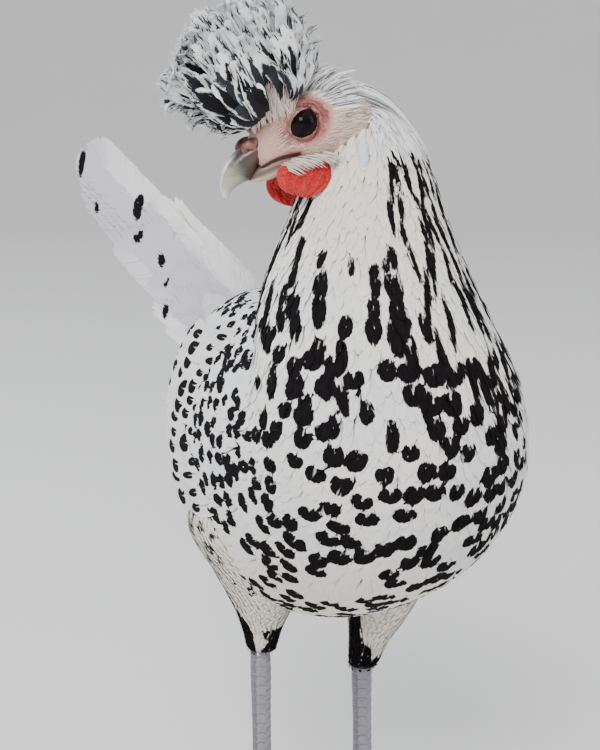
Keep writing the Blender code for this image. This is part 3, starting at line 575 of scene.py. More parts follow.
class Recipe:
    """The nodes of one material, each linked as it is made."""

    def __init__(self, name, roughness, **sockets):
        self.material = bpy.data.materials.new(name)
        self.material.use_nodes = True
        self.tree = self.material.node_tree
        self.shader = self.tree.nodes["Principled BSDF"]
        self.shader.inputs["Roughness"].default_value = roughness
        for key, value in sockets.items():
            self.shader.inputs[key.replace("_", " ")].default_value = value

    def put(self, socket, value):
        """Link a value of a node to a socket, or set a plain one on it."""
        if isinstance(value, Amount):
            self.tree.links.new(value.socket, socket)
        else:
            socket.default_value = (*value, 1.0) if socket.type == "RGBA" else value

    def node(self, kind, inputs, out=0, **settings):
        """A node with its settings and the inputs named by key or number, and the value that it gives."""
        node = self.tree.nodes.new("ShaderNode" + kind)
        for key, value in settings.items():
            setattr(node, key, value)
        for key, value in inputs.items():
            self.put(node.inputs[key], value)
        return Amount(self, node.outputs[out])

    def math(self, operation, *values):
        """What the named operation makes of the values."""
        return self.node("Math", dict(enumerate(values)), operation=operation)

    def attribute(self, name):
        """A value that the mesh carries."""
        return self.node("Attribute", {}, "Fac", attribute_name=name)

    def vane(self):
        """Across and along a feather, each 0 to 1, and the distance from its shaft, 1 at the edge."""
        across = self.node("SeparateXYZ", {0: self.node("UVMap", {}, uv_map="vane")})
        return across, Amount(self, across.socket.node.outputs[1]), abs(across - 0.5) * 2.0

    def place(self):
        """The place on the object."""
        return self.node("TexCoord", {}, "Object")

    def join(self, *values):
        """Three values as one vector."""
        return self.node("CombineXYZ", dict(enumerate(values)))

    def noise(self, scale, detail=3.0, vector=None):
        """Soft noise, scale waves to the unit of the vector."""
        return self.node("TexNoise", {"Vector": vector or self.place(), "Scale": scale, "Detail": detail})

    def cells(self, scale):
        """The distance to the nearest of many scattered points."""
        return self.node("TexVoronoi", {"Vector": self.place(), "Scale": scale})

    def step(self, value, low, high):
        """0 below low and 1 above high, smooth between; the other way round where high is the lower."""
        ends = {0: value, 1: low, 2: high, 3: 0.0, 4: 1.0}
        return self.node("MapRange", ends, interpolation_type="SMOOTHSTEP")

    def mix(self, factor, a, b):
        """Colour a where factor is 0, b where it is 1, and a blend between."""
        return self.node("Mix", {0: factor, 6: a, 7: b}, 2, data_type="RGBA")

    def colour(self, value):
        """The base colour."""
        self.put(self.shader.inputs["Base Color"], value)

    def relief(self, height, distance, strength=1.0):
        """The shading's lean from a height, distance metres for a height of 1."""
        bump = self.node("Bump", {"Distance": distance, "Strength": strength, "Height": height})
        self.put(self.shader.inputs["Normal"], bump)


def barbs(recipe, x, y, across, long):
    """Fine slanted lines from a vane's shaft to its edges: the sine of long y less across x turns."""
    slant = y * long - x * across
    return recipe.math("SINE", slant * 6.2832)


def spangled_finish():
    """White vanes with a black spangle near the tip.

    The spangle is a rounded patch of half sizes spot_w and spot_l about the height spot_y; a white
    wedge of slope notch runs up the shaft and parts its root side in two, and the vane's base is grey,
    partly as grey down and partly as a painted shade under the overlapping vanes.
    """
    r = Recipe("spangled_feather", 0.72, Specular_IOR_Level=0.04)
    u, y, x = r.vane()
    tint, spot_l = r.attribute("tint"), r.attribute("spot_l")
    frayed = r.noise(1.0, 4.0, r.join(u * 7.0, y * 34.0, tint * 40.0))
    rough_edge = (frayed - 0.5) * 0.55
    dx = x / r.attribute("spot_w")
    dy = (r.attribute("spot_y") - y) / spot_l
    rise = dy - dx**2.0 * 0.22
    field = dx**2.4 + abs(rise) ** 2.4
    spot = r.step(field + rough_edge, 1.1, 0.86)
    wedge = dx - dy * r.attribute("notch")
    spot = spot * r.step(wedge + rough_edge * 0.35, -0.09, 0.03)
    mottled = r.noise(28.0, 3.0)
    pale = r.mix(r.step(mottled, 0.35, 0.75), WHITE, tuple(c * 0.9 for c in WHITE))
    lines = barbs(r, x, y, 26.0, 46.0)
    pale = r.mix((lines + 1.0) * 0.045, pale, tuple(c * 0.72 for c in WHITE))
    pale = r.mix(tint * 0.16, pale, UNDER)
    # The grey base: partly grey down, partly a painted shade under the overlapping vanes
    pale = r.mix(r.step(y, 0.4, 0.1) * 0.8, pale, UNDER)
    black = r.mix(frayed * 0.5, (0.004, 0.0035, 0.0045), (0.017, 0.015, 0.016))
    r.colour(r.mix(spot, pale, black))
    r.relief(lines, 0.00012, 0.35)
    return r.material


def coat_finish():
    """Fine vanes, white with a random grey mottle, a painted warm shade where cream says and a painted
    lavender-grey shade where grey says, and black where mark is above 0, frayed along the barbs.
    """
    r = Recipe("body_coat", 0.80, Specular_IOR_Level=0.03)
    u, y, x = r.vane()
    tint = r.attribute("tint")
    grain = r.join(u * 6.0, y * 5.0, tint * 60.0)
    frayed = r.noise(1.0, 3.0, grain)
    depth = r.attribute("mark") + (frayed - 0.5) * 1.5
    spot = r.step(depth, -0.22, 0.22)
    warm, grey = (0.80, 0.745, 0.655), (0.74, 0.745, 0.76)
    pale = r.mix(r.step(r.noise(34.0, 2.0), 0.38, 0.66), WHITE, grey)
    # cream: a painted warm shade over the throat front, low belly and thighs
    pale = r.mix(r.attribute("cream") * 0.9, pale, warm)
    # grey: a painted lavender-grey shade over the middle of the tail's slopes
    pale = r.mix(r.attribute("grey"), pale, (0.50, 0.485, 0.545))
    lines = barbs(r, x, y, 2.5, 12.0)
    pale = r.mix((lines + 1.0) * 0.05, pale, (0.52, 0.52, 0.53))
    pale = r.mix(tint * 0.1, pale, UNDER)
    black = r.mix(frayed * 0.6, (0.004, 0.0035, 0.0045), (0.017, 0.015, 0.016))
    r.colour(r.mix(spot, pale, black))
    r.relief(lines, 0.00010, 0.25)
    return r.material


def crest_finish():
    """Plumes black along the shaft and at the base, white at the edges and the curled tip, some with a
    painted blue-grey shade on the white and a painted blue-grey sheen on the black.
    """
    r = Recipe("crest_plume", 0.65, Specular_IOR_Level=0.12)
    u, y, x = r.vane()
    tint, dark = r.attribute("tint"), r.attribute("dark")
    frayed = r.noise(1.0, 4.0, r.join(u * 9.0, y * 16.0, tint * 60.0))
    reach = dark - y
    most = r.math("MINIMUM", reach * 3.4, 0.8)
    width = most + (frayed - 0.5) * 0.55
    streak = r.step(width - x, -0.12, 0.12)
    lines = barbs(r, x, y, 9.0, 22.0)
    white = r.mix((lines + 1.0) * 0.1, (0.8, 0.81, 0.82), (0.45, 0.47, 0.51))
    # A painted blue-grey shade on the white of some plumes
    white = r.mix(r.step(tint, 0.45, 0.9) * 0.45, white, (0.44, 0.48, 0.55))
    # A painted blue-grey sheen on the black of some plumes
    black = r.mix(frayed * r.step(tint, 0.2, 0.9), (0.007, 0.007, 0.009), (0.06, 0.068, 0.085))
    r.colour(r.mix(streak, white, black))
    r.relief(lines, 0.00015, 0.5)
    return r.material


def finish(pieces, material, slot, *nodes):
    """Give new pieces their material and body, and hide the solids that they stand for; slot is not used."""
    for piece in pieces if isinstance(pieces, (list, tuple)) else [pieces]:
        piece.data.materials.clear()
        piece.data.materials.append(material)
        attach(piece, "root")
        if nodes:
            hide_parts(*nodes)


def add_piece(name, shape, material, slot, *nodes, **values):
    """A finished piece from a lofted shape and its point values."""
    points, faces, uv = shape
    finish(add_mesh(name, points, faces, {"OFBake": uv}, values), material, slot, *nodes)


def with_hubs(values, first=0.0, last=0.0):
    """The values of a loft's rings, with those of the hubs at its two ends."""
    return np.concatenate((values.ravel(), (first, last)))


# Camera, floor and light

aim = np.array(CAMERA_AIM) - BOX_CENTRE
turned, raised = math.radians(CAMERA_TURN), math.radians(CAMERA_RISE)
level = np.array((math.sin(turned), -math.cos(turned), 0.0))
toward = level * math.cos(raised) + UP * math.sin(raised)
camera = add_object("camera", bpy.data.cameras.new("camera"))
camera.data.lens = LENS
camera.data.sensor_width = 36
camera.location = aim + toward * CAMERA_AWAY
camera.rotation_euler = Vector(-toward).to_track_quat("-Z", "Y").to_euler()
bpy.context.scene.camera = camera


def add_floor():
    """A flat floor that turns up into a round wall, one profile carried once round the upright."""
    rows, sides, flat, wide, wall = 59, 96, 0.3, 3.0, (4.0, 5.0)
    s = np.linspace(0, 1, rows + 1)[1:]
    bend = np.clip((s - flat) / (1 - flat), 0, 1) * math.pi / 2
    reach = wide * np.minimum(s / flat, 1) + wall[0] * np.sin(bend)
    high = wall[1] * (1 - np.cos(bend))
    sin, cos = sin_cos(once_round(sides))
    rings = np.stack((np.outer(reach, cos), np.outer(reach, sin), np.outer(high, np.ones(sides))), -1)
    points = np.concatenate(([(0.0, 0.0, 0.0)], rings.reshape(-1, 3)))
    k = np.arange(sides)
    middle = np.stack((k * 0, k + 1, (k + 1) % sides + 1), -1)
    quads = ring_faces(rows, sides)[:, (0, 3, 2, 1)] + 1
    floor = add_mesh("floor", points + BOX_CENTRE, [quads, middle])
    r = Recipe("floor", 0.9)
    r.colour(r.mix(r.noise(3.0), (0.74, 0.73, 0.71), (0.77, 0.76, 0.74)))
    floor.data.materials.append(r.material)


def add_light(name, spot, size, power, colour, at=(0.0, 0.0, 0.17)):
    """A square lamp at spot, turned to face a place on the bird."""
    lamp = add_object(name, bpy.data.lights.new(name, "AREA"))
    lamp.data.size, lamp.data.energy, lamp.data.color = size, power, colour
    lamp.location = spot
    lamp.rotation_euler = (Vector(at) - Vector(spot)).to_track_quat("-Z", "Y").to_euler()


add_floor()
world = bpy.data.worlds.new("studio")
bpy.context.scene.world = world
world.use_nodes = True
sky = world.node_tree.nodes["Background"].inputs
sky[0].default_value = (0.93, 0.95, 1.0, 1.0)
sky[1].default_value = 1.0
add_light("key", (-1.1, -1.3, 1.5), 0.9, 46.0, (1.0, 0.98, 0.95))
add_light("fill", (1.5, -0.9, 0.9), 1.2, 9.0, (1.0, 0.96, 0.92))
add_light("rim", (-1.2, 1.3, 1.3), 1.0, 26.0, (0.82, 0.90, 1.0))


# Plumage of the trunk and neck

WHITE = (0.80, 0.79, 0.765)
UNDER = (0.42, 0.42, 0.44)
plumage = spangled_finish()
fine_coat = coat_finish()
# Width shares along a vane: rounded, and hackle; fine and hair-like vanes as (station, width, rise)
ROUNDED = np.array((0.35, 0.78, 0.97, 1.0, 0.86, 0.56, 0.22))
FINE = np.array((
    (0.00, 0.55, 0.00),
    (0.52, 1.00, 0.70),
    (0.68, 0.98, 0.84),
    (0.80, 0.88, 0.92),
    (0.91, 0.62, 0.97),
    (1.00, 0.15, 1.00),
))
HAIR = FINE[[0, 1, 3, 4, 5]]
LONG = np.array((0.0, 0.30, 0.52, 0.68, 0.80, 0.91, 1.0))
HACKLE_SHAPE = np.array((0.55, 0.95, 1.0, 0.88, 0.66, 0.36, 0.08))


def on_map(u, turn):
    """A place on the OFBake map: u one way, once round the other."""
    return np.stack((u, 0.03 + 0.94 * (turn % 360) / 360), -1)


def trunk_uv(q, turn):
    """The skin laid flat: tail to head one way, once round the other."""
    return on_map(0.03 + 0.94 * np.clip(q / 13, 0, 1), turn)


def front(turn, middle=205.0, width=60.0):
    """1 where a place faces forward, 0 at the back of the neck."""
    return hill((turn - middle + 180) % 360 - 180, 0.0, width)


def feather_values(count, seed, **values):
    """One value a feather for the finishes, with a random tint where none is given."""
    draw = np.random.default_rng(seed)
    values.setdefault("tint", draw.random(count))
    return values


def neck_marks():
    """Chains of marks down the neck: spots that run together in front, long close streaks elsewhere."""
    draw = np.random.default_rng(14)
    rows = []
    for columns, streaky in ((36, 0.0), (46, 1.0)):
        for column in range(columns):
            middle, q = column * 360 / columns, 12.9 - draw.uniform(0, 0.5)
            phase = draw.uniform(0, 6.28)
            foot = 7.35 + draw.uniform(-0.25, 0.45)
            while q > foot:
                reach = float(along(TRUNK, q)[4])
                apart = 2000 * math.pi * reach / columns
                turn = (middle + 4.5 * math.sin(q * 1.5 + phase) + draw.normal(0, 1.0)) % 360
                high = float(smooth(8.4, 10.2, q))
                if streaky:
                    half = apart * (0.32 - 0.03 * high) * draw.uniform(0.8, 1.15)
                    long = (11.0 - 3.5 * high) * draw.uniform(0.7, 1.25)
                else:
                    half = (2.95 - 1.6 * high) * draw.uniform(0.75, 1.15)
                    long = (5.8 - 2.6 * high) * draw.uniform(0.75, 1.35)
                rows.append((q, turn, half, long, 0.15 if streaky else 0.55 * (1 - high), streaky))
                q -= long * draw.uniform(1.2, 1.6 if streaky else 2.05) * MM / 0.0205
    q, turn, half, long, cleft, streaky = np.array(rows).T
    back = 1 - front(turn, 226, 62)
    in_front = back < 0.40 - 0.17 * smooth(9.0, 10.2, q) + draw.normal(0, 0.05, len(q))
    throat = smooth(9.3, 9.9, q + draw.normal(0, 0.12, len(q)))
    crowded = (half < 0.75) & (draw.random(len(q)) < 0.5)
    keep = np.where(streaky > 0.5, ~in_front & ~crowded, in_front & (throat < 0.5))
    keep &= draw.random(len(q)) > 0.07
    q, turn, half, long, cleft = (v[keep] for v in (q, turn, half, long, cleft))
    return marks(coat, q, turn, np.maximum(half, 0.55), long, cleft, draw.normal(0, 0.10, len(q)))


def low_clumps(places, seed):
    """A slow wave over the body, about -1 to 1, for gaps and clusters among the marks."""
    draw = np.random.default_rng(seed)
    waves = draw.normal(0, 1, (7, 3))
    phase = draw.uniform(0, 6.28, 7)
    return np.sin(places @ unit(waves).T * 150 + phase).mean(axis=1) * 1.9


def body_marks():
    """Two-lobed marks over the breast in clusters, smaller slanting ones on the flanks, back and belly."""
    def beside(turn):
        """0 in front and 1 at the sides and back: 1 less a bell about the front."""
        return 1 - hill((turn - 203 + 180) % 360 - 180, 0, 68)

    def gap(q, turn):
        """The distance kept between marks, 8.3 mm in front and 6.1 mm beside."""
        return (8.3 - 2.2 * smooth(0.25, 0.75, beside(turn))) * MM

    q, turn = scatter(coat, (0.5, 8.0), (0, 360), gap, 40000, 11)
    draw = np.random.default_rng(12)
    count = len(q)
    aside = smooth(0.25, 0.75, beside(turn))
    clump = low_clumps(trunk(q, turn), 15)
    half = (4.45 - 1.6 * aside + 0.5 * clump) * draw.uniform(0.82, 1.12, count)
    long = (4.0 - 0.4 * aside) * draw.uniform(0.85, 1.15, count)
    bare = hill(turn, 180, 48) * smooth(4.2, 2.8, q) + smooth(1.7, 0.9, q)
    none = draw.random(count) < 0.04 + bare + 0.9 * smooth(-0.48, -0.80, clump)
    q, turn, half, long, aside = (v[~none] for v in (q, turn, half, long, aside))
    slant = draw.normal(0, 0.18, len(q)) + 0.35 * aside * np.sign(np.sin(np.radians(turn)))
    return marks(coat, q, turn, half, long, 0.85 * (1 - 0.5 * aside), slant)


trunk_marks = all_marks((neck_marks(), body_marks()))


def fine_vanes(
    name, surface, q, turn, length, half, depth, end, marked, seed, uv,
    bow=0.06, ease=0.75, stray=55, rows=FINE, **values
):
    """A close coat of small vanes over a surface, their roots sunk by depth and their tips by end.

    A row gives a place along the vane, the share of its width there and how far it has risen from its root.
    """
    draw = np.random.default_rng(seed)
    count = len(q)
    stations, shape, rise = rows.T
    lift = -depth[:, None] + (depth - end)[:, None] * rise
    lift = lift + draw.uniform(-0.12, 0.12, count)[:, None] * MM * rise
    drift = draw.normal(0, 1, count) * stray
    line, face = lay(surface, q, turn, length, stations, lift, stop=0.2, drift=drift)
    values = feather_values(count, seed + 1, **values)
    return vanes(
        name, line, face, half[:, None] * shape, 0.12 * MM, stations, bow,
        np.radians(draw.uniform(-2, 2, count)), uv, values, marked, ease,
    )


def trunk_feathers():
    """The close coat of trunk and neck, in bands that each make one mesh, and longer hackles over it."""
    def gap(q, turn):
        """The distance between feathers, 3.1 mm on the trunk and 2.1 mm on the neck."""
        return (3.1 - 1.0 * smooth(7.5, 10.5, q)) * MM

    q, turn = scatter(coat, (0.15, 12.95), (0, 360), gap, 150000, 21)
    draw = np.random.default_rng(22)
    neck, high = smooth(7.4, 9.6, q), smooth(10.0, 12.0, q)
    length = (15.0 - 2.0 * neck - 1.0 * high) * MM * draw.uniform(0.85, 1.15, len(q))
    half = (2.35 - 0.95 * neck - 0.15 * high) * MM * draw.uniform(0.85, 1.15, len(q))
    depth = (2.9 - 0.7 * neck) * MM
    end = 0.45 * MM + 0 * q
    low = coat(q, turn)[:, 2]
    # cream is a painted warm shade: on the front of the throat and on the low belly, where the coat lies out
    # of the light
    cream = np.maximum(smooth(9.2, 10.2, q) * front(turn, 215, 60), 0.85 * smooth(0.155, 0.105, low))
    for k, (low, top) in enumerate(((0, 3.2), (3.2, 5.2), (5.2, 7.4), (7.4, 9.6), (9.6, 13))):
        on = (q >= low) & (q < top)
        piece = fine_vanes(
            "body_feathers_%d" % (k + 1), coat, q[on], turn[on], length[on], half[on], depth[on], end[on],
            trunk_marks, 23 + 2 * k, trunk_uv(q[on], turn[on]), cream=cream[on],
        )
        finish(piece, fine_coat, "white_feather")
    hackles()


def hackles():
    """Long narrow feathers over the sides and back of the neck, whose points lie loose on the shoulders."""
    def gap(q, turn):
        """The distance between hackles, 4.4 mm low on the neck and 3 mm high."""
        return (4.4 - 1.4 * smooth(9.5, 12, q)) * MM

    q, turn = scatter(coat, (8.0, 12.7), (0, 360), gap, 20000, 31)
    draw = np.random.default_rng(32)
    keep = front(turn, 222, 60) < 0.50 + draw.normal(0, 0.05, len(q))
    q, turn = q[keep], turn[keep]
    count = len(q)
    high = smooth(9.0, 12.0, q)
    length = (31 - 7 * high) * MM * draw.uniform(0.85, 1.15, count)
    half = (1.7 - 0.5 * high) * MM * draw.uniform(0.85, 1.15, count)
    low = smooth(9.6, 8.0, q)[:, None]
    lift = (-1.6 + (1.35 + 0.9 * low) * np.linspace(0, 1, 7)) * MM
    line, face = lay(coat, q, turn, length, LONG, lift, drift=draw.normal(0, 1, count) * 35)
    piece = vanes(
        "neck_hackles", line, face, half[:, None] * HACKLE_SHAPE, 0.14 * MM, LONG, 0.10,
        np.radians(draw.uniform(-4, 4, count)), trunk_uv(q, turn), feather_values(count, 33, cream=0.0),
        trunk_marks, 0.5,
    )
    finish(piece, fine_coat, "white_feather")


def nape_feathers():
    """Feathers that run from the back of the head down over the top of the neck, each a cubic curve.

    Each leaves the head's skin backward and comes down onto the neck's skin from above, a quarter
    turn round from its place on the head, because the head is turned to the side.
    """
    draw = np.random.default_rng(91)
    count = 860
    spin = draw.uniform(-115, 118, count)
    head_q = draw.uniform(0.3, 3.6 - 2.9 * smooth(30, 62, np.abs(spin)))
    neck_turn = 90 + spin * 0.96
    neck_q = 12.9 - draw.uniform(0.2, 1.7, count)
    start = head(head_q, spin) - way_out(head, head_q, spin) * 0.6 * MM
    leave = unit(head(head_q - 0.1, spin) - head(head_q, spin))
    end = coat(neck_q, neck_turn) + way_out(coat, neck_q, neck_turn) * 0.1 * MM
    arrive = unit(coat(neck_q, neck_turn) - coat(np.minimum(neck_q + 0.3, 12.99), neck_turn))
    far = np.linalg.norm(end - start, axis=1)[:, None]
    stations = np.linspace(0, 1, 8)
    s = stations[None, :, None]
    points = (start, start + leave * far * 0.38, end - arrive * far * 0.45, end)
    line = bezier(s, *(p[:, None] for p in points))
    face = bezier(s, way_out(head, head_q, spin)[:, None], way_out(coat, neck_q, neck_turn)[:, None])
    shape = np.array((0.5, 0.85, 0.98, 1.0, 0.98, 0.87, 0.59, 0.15))
    half = draw.uniform(0.65, 1.05, count)[:, None] * MM * shape
    streak = (draw.random(count) < 0.70 * smooth(125, 70, np.abs(spin - 5))) * 1.0
    roots = on_map(0.28 + 0.1 * (head_q / 7), spin)
    piece = vanes(
        "nape_feathers", line, unit(face), half, 0.12 * MM, stations, 0.12, draw.uniform(-0.3, 0.3, count),
        roots, feather_values(count, 92, streak=streak, white=1.0), None, 0.25,
    )
    finish(piece, face_finish(), "white_feather")


def crown_feathers():
    """Short loose feathers behind the crest, which rise from the crown and bend back onto the nape."""
    draw = np.random.default_rng(95)
    count = 300
    turn = np.clip(draw.normal(0, 34, count), -80, 80)
    ahead = (-17 + (20 - 14 * smooth(14, 40, np.abs(turn))) * draw.random(count)) * MM
    q = row_at(HEAD, ahead)
    out = way_out(head, q, turn)
    start = head(q, turn) - out * 0.8 * MM
    back = unit(head(q - 0.1, turn) - head(q, turn))
    length = draw.uniform(7.5, 13.0, count)[:, None] * MM
    rise = draw.uniform(0.15, 0.50, count)[:, None] * smooth(75, 30, np.abs(turn))[:, None]
    bend = start + (back * 0.40 + out * (rise + 0.12)) * length
    end = start + (back * 0.92 + out * rise) * length
    s = np.linspace(0, 1, 6)
    line = bezier(s[None, :, None], start[:, None], bend[:, None], end[:, None])
    half = draw.uniform(0.40, 0.85, count)[:, None] * MM * np.array((0.6, 0.95, 1.0, 0.85, 0.55, 0.12))
    streak = (draw.random(count) < 0.6) * 1.0
    piece = vanes(
        "crown_feathers", line, np.broadcast_to(out[:, None], line.shape), half, 0.12 * MM, s, 0.12,
        draw.uniform(-0.4, 0.4, count), None, feather_values(count, 96, streak=streak, white=1.0),
    )
    finish(piece, face_finish(), "white_feather")


# Skin under the plumage, and the face


def skin_finish():
    """Cream skin with fine pits and hair lines, flushed red where flush says, spotted under the coat, with a
    painted shade in the mouth's crease where gape says.
    """
    r = Recipe("bird_skin", 0.55)
    flush, bare = r.attribute("flush"), r.attribute("bare")
    fine = r.noise(900.0, 3.0)
    broad = r.noise(160.0, 3.0)
    cream = r.mix(broad, (0.50, 0.29, 0.24), (0.62, 0.43, 0.36))
    pink = r.mix(broad, (0.30, 0.070, 0.075), (0.50, 0.19, 0.18))
    dots = r.step(r.cells(780.0), 0.46, 0.20)
    pink = r.mix(dots * 0.6, pink, (0.17, 0.035, 0.04))
    beads = r.attribute("lid") * r.step(r.noise(900.0, 2.0), 0.26, 0.48)
    pink = r.mix(beads, pink, (0.045, 0.012, 0.013))
    bare_skin = r.mix(flush * r.step(r.noise(420.0, 4.0), 0.18, 0.52), cream, pink)
    # A painted shade: the crease of the mouth line darkened where gape says
    mouth = r.attribute("gape") + (broad - 0.5) * 0.5
    bare_skin = r.mix(r.step(mouth, 0.22, 0.85), bare_skin, (0.050, 0.014, 0.011))
    under_coat = r.mix(r.step(r.attribute("mark"), -0.25, 0.25), (0.70, 0.69, 0.66), (0.02, 0.02, 0.02))
    r.colour(r.mix(bare, under_coat, bare_skin))
    r.relief(fine, 0.0006, 0.8)
    return r.material


def around_eye(points, side):
    """How far ahead of one eye's middle, above it and out to its side places lie."""
    a, l, u = head_local(points)
    return a - EYE_AT[0], u - EYE_AT[2], l * side


def off_mouth(a, u):
    """Distance in mm from the mouth line, a flat arch back from the bill, in the head's frame."""
    s = np.clip((a - 6.0) / 18.0, 0, 1)
    return np.hypot(a - 6.0 - 18.0 * s, u + 9.5 + 0.6 * s - 1.7 * np.sin(np.pi * s))


def head_skin(rows=230, sides=220):
    """The head's skin: the CAD's egg sections, a little in, with lids, an eye hollow and a wrinkled ring.

    Round each eye the skin is drawn to the ball's own surface at the lid's edge, rolls out to a rim
    and falls back to the face over the ring, whose fine folds are waves of the distance to the eye.
    """
    q, turn = net(7, rows, sides)
    places = head(q, turn)
    out = way_out(head, np.clip(q, 0.05, 6.95), turn)
    places = places - out * 0.8 * MM
    flush, lid = np.zeros((2, *q.shape))
    for side in (1, -1):
        a, u, l = around_eye(places, side)
        near = l > 0.002
        leaned = a * 0.935 - u * 0.355
        raised = a * 0.355 + u * 0.935
        far = np.sqrt((leaned / 1.18) ** 2 + (raised / 0.95) ** 2) / MM
        ball = EYE_AT[1] + np.sqrt(np.maximum(EYE_RADIUS**2 - a**2 - u**2, (1.0 * MM) ** 2))
        rim = ball + (0.35 + 0.45 * hill(far, 5.7, 0.7)) * MM
        spin = np.arctan2(u, a)
        rings = np.sin(far * 5.3 + 1.5 * np.sin(spin * 3) + 0.8 * np.sin(spin * 7))
        rays = np.sin(spin * 31 + 2 * np.sin(far * 3)) * np.sin(far * 6.1)
        folds = 0.26 * rings * hill(far, 7.9, 1.7) + 0.18 * rays * hill(far, 7.4, 1.9)
        hollow = ball - 1.6 * MM
        target = np.where(far < OPENING, hollow, rim)
        blend = smooth(9.2, 6.2, far)
        moved = l * (1 - blend) + target * blend + folds * MM
        moved = np.where(far < OPENING, hollow, moved)
        gain = np.where(near, moved - l, 0)
        places = places + (gain * side)[..., None] * LEFT
        ring = smooth(10.6, 8.2, far) * (0.75 + 0.25 * smooth(3, -6, a / MM))
        flush = np.maximum(flush, np.where(near, ring, 0))
        lid = np.maximum(lid, np.where(near, hill(far, 5.5, 1.0), 0))
    a, l, u = (v / MM for v in head_local(places))
    gape = hill(off_mouth(a, u), 0, 1.15) * (np.abs(l) > 2.5)
    places = places - (np.sign(l) * gape * 0.6 * MM)[..., None] * LEFT
    # gape here only paints a shade at the bill's root, low down where the bill meets the face
    gape = np.maximum(gape, 0.40 * smooth(15.0, 18.5, a) * smooth(5, 1, u))
    flush = np.maximum(flush, 0.85 * hill(off_mouth(a, u), 0, 2.6) * smooth(19, 8, a))
    flush = np.maximum(flush, 0.55 * hill(a, 8.5, 5.0) * hill(u, -3.5, 4.5))
    return places, flush, gape, lid


def make_skin():
    """One skin for trunk, neck, head and thighs: their egg sections, drawn in by the depth of the coat."""
    q, turn = net(13, 140, 80)
    depth = (SKIN_DEPTH - 1.6 * MM * smooth(9.0, 11.0, q))[..., None]
    body = trunk(q, turn) - way_out(trunk, np.clip(q, 0.05, 12.95), turn) * depth
    shapes = [loft(body, (0.3, 0.3))]
    face, flush, gape, lid = head_skin()
    shapes.append(loft(face, (0.3, 0.0)))
    for side in (1, -1):
        leg = thigh(side)
        q, turn = net(5, 40, 40)
        rings = leg(q, turn)
        centre = rings.mean(axis=1, keepdims=True)
        drawn_in = 1 - 0.16 * smooth(5.0, 4.0, q)[..., None]
        shapes.append(loft(centre + (rings - centre) * drawn_in, (0.2, 0.2)))
    points, faces, uv = join_shapes(shapes)
    flushed, bare, gaping, lidded = np.zeros((4, len(points)))
    start = len(shapes[0][0])
    for whole, part in ((flushed, flush), (gaping, gape), (lidded, lid)):
        whole[start : start + part.size] = part.ravel()
    bare[start : start + len(shapes[1][0])] = 1.0
    every_mark = all_marks((trunk_marks, thigh_marks(1), thigh_marks(-1)))
    marked = np.where(bare > 0.5, -4.0, inside(every_mark, points))
    add_piece(
        "skin", (points, faces, uv), skin_finish(), "face_skin",
        "torso", "neck", "head", "thigh_left", "thigh_right",
        flush=flushed, bare=bare, mark=marked, gape=gaping, lid=lidded,
    )


# Crest

CREST_MIDDLE = (0.0118, 0.0, 0.0270)
CREST_RADII = np.array((0.0302, 0.0230, 0.0232))
CREST_ROOT = ((0.0085, 0.0, 0.0085), 0.0085, 0.0070)


def in_crest(local):
    """Places so far ahead, left and up of the crest's middle, in the bird's own frame."""
    return in_head(*CREST_MIDDLE) + local[:, :1] * AHEAD + local[:, 1:2] * LEFT + local[:, 2:] * RISE


def crest_lines(count, size, lean, seed, curl):
    """Plumes that fan out from the crown, mostly fore and aft, each a parabola and a rolled tip.

    The fan turns from low in front, over the top, to the back; a plume's tip lies on an egg at that
    turn, out to one side by lean, and its middle bends out to the same side and away from the egg.
    The tip goes on as an arc of curl degrees towards the plume's inner or outer face.
    """
    draw = np.random.default_rng(seed)
    fan = np.radians(draw.uniform(-62, 218, count))
    side = np.radians(np.clip(draw.normal(0, lean, count), -75, 75))
    lumps = 1 + 0.04 * np.sin(5 * fan + 1.0) + 0.03 * np.sin(11 * fan + 4 * side)
    behind = smooth(60, 110, np.degrees(fan))
    size = size * lumps * draw.uniform(0.93, 1.01, count) * (0.935 + 0.085 * behind)
    way = np.stack((np.cos(fan) * np.cos(side), np.sin(side), np.sin(fan) * np.cos(side)), -1)
    tip = way * CREST_RADII * size[:, None]
    (root_ahead, _, root_up), long, wide = CREST_ROOT
    spread_out = draw.uniform(0.3, 1.0, count)
    root = np.stack((
        root_ahead - CREST_MIDDLE[0] + long * np.cos(fan) * spread_out,
        wide * np.sin(side) * 1.2 * spread_out + draw.normal(0, 0.8, count) * MM,
        np.full(count, root_up - CREST_MIDDLE[2]),
    ), -1)
    bulge = np.stack((0.25 * np.cos(fan), 0.95 * np.sin(side), 0.25 * np.sin(fan)), -1)
    bend = root * 0.5 + tip * 0.5 + bulge * CREST_RADII * 0.55 + draw.normal(0, 0.7, (count, 3)) * MM
    line = [in_crest(bezier(s, root, bend, tip)) for s in np.linspace(0, 1, 8)]
    outward = unit(line[-1] - in_head(*CREST_MIDDLE))
    onward = unit(line[-1] - line[-2])
    sideways = unit(LEFT * np.sin(side)[:, None] * 1.4 + outward * 0.6)
    across = unit(np.cross(onward, sideways))
    sense = np.where(draw.random(count) < 0.62, -1.0, 1.0)[:, None]
    bent = np.cross(across, onward) * sense
    angle = np.radians(curl * draw.uniform(0.35, 1.15, count))[:, None]
    step = draw.uniform(0.8, 1.25, count)[:, None] * MM
    for k in range(1, 6):
        line.append(line[-1] + (onward * np.cos(angle * k / 5) + bent * np.sin(angle * k / 5)) * step)
    line = np.stack(line, 1)
    face = np.cross(across[:, None, :], unit(np.gradient(line, axis=1)))
    flip = np.sign((face[:, 3] * sideways).sum(axis=1))[:, None, None]
    return line, face * flip, draw, fan


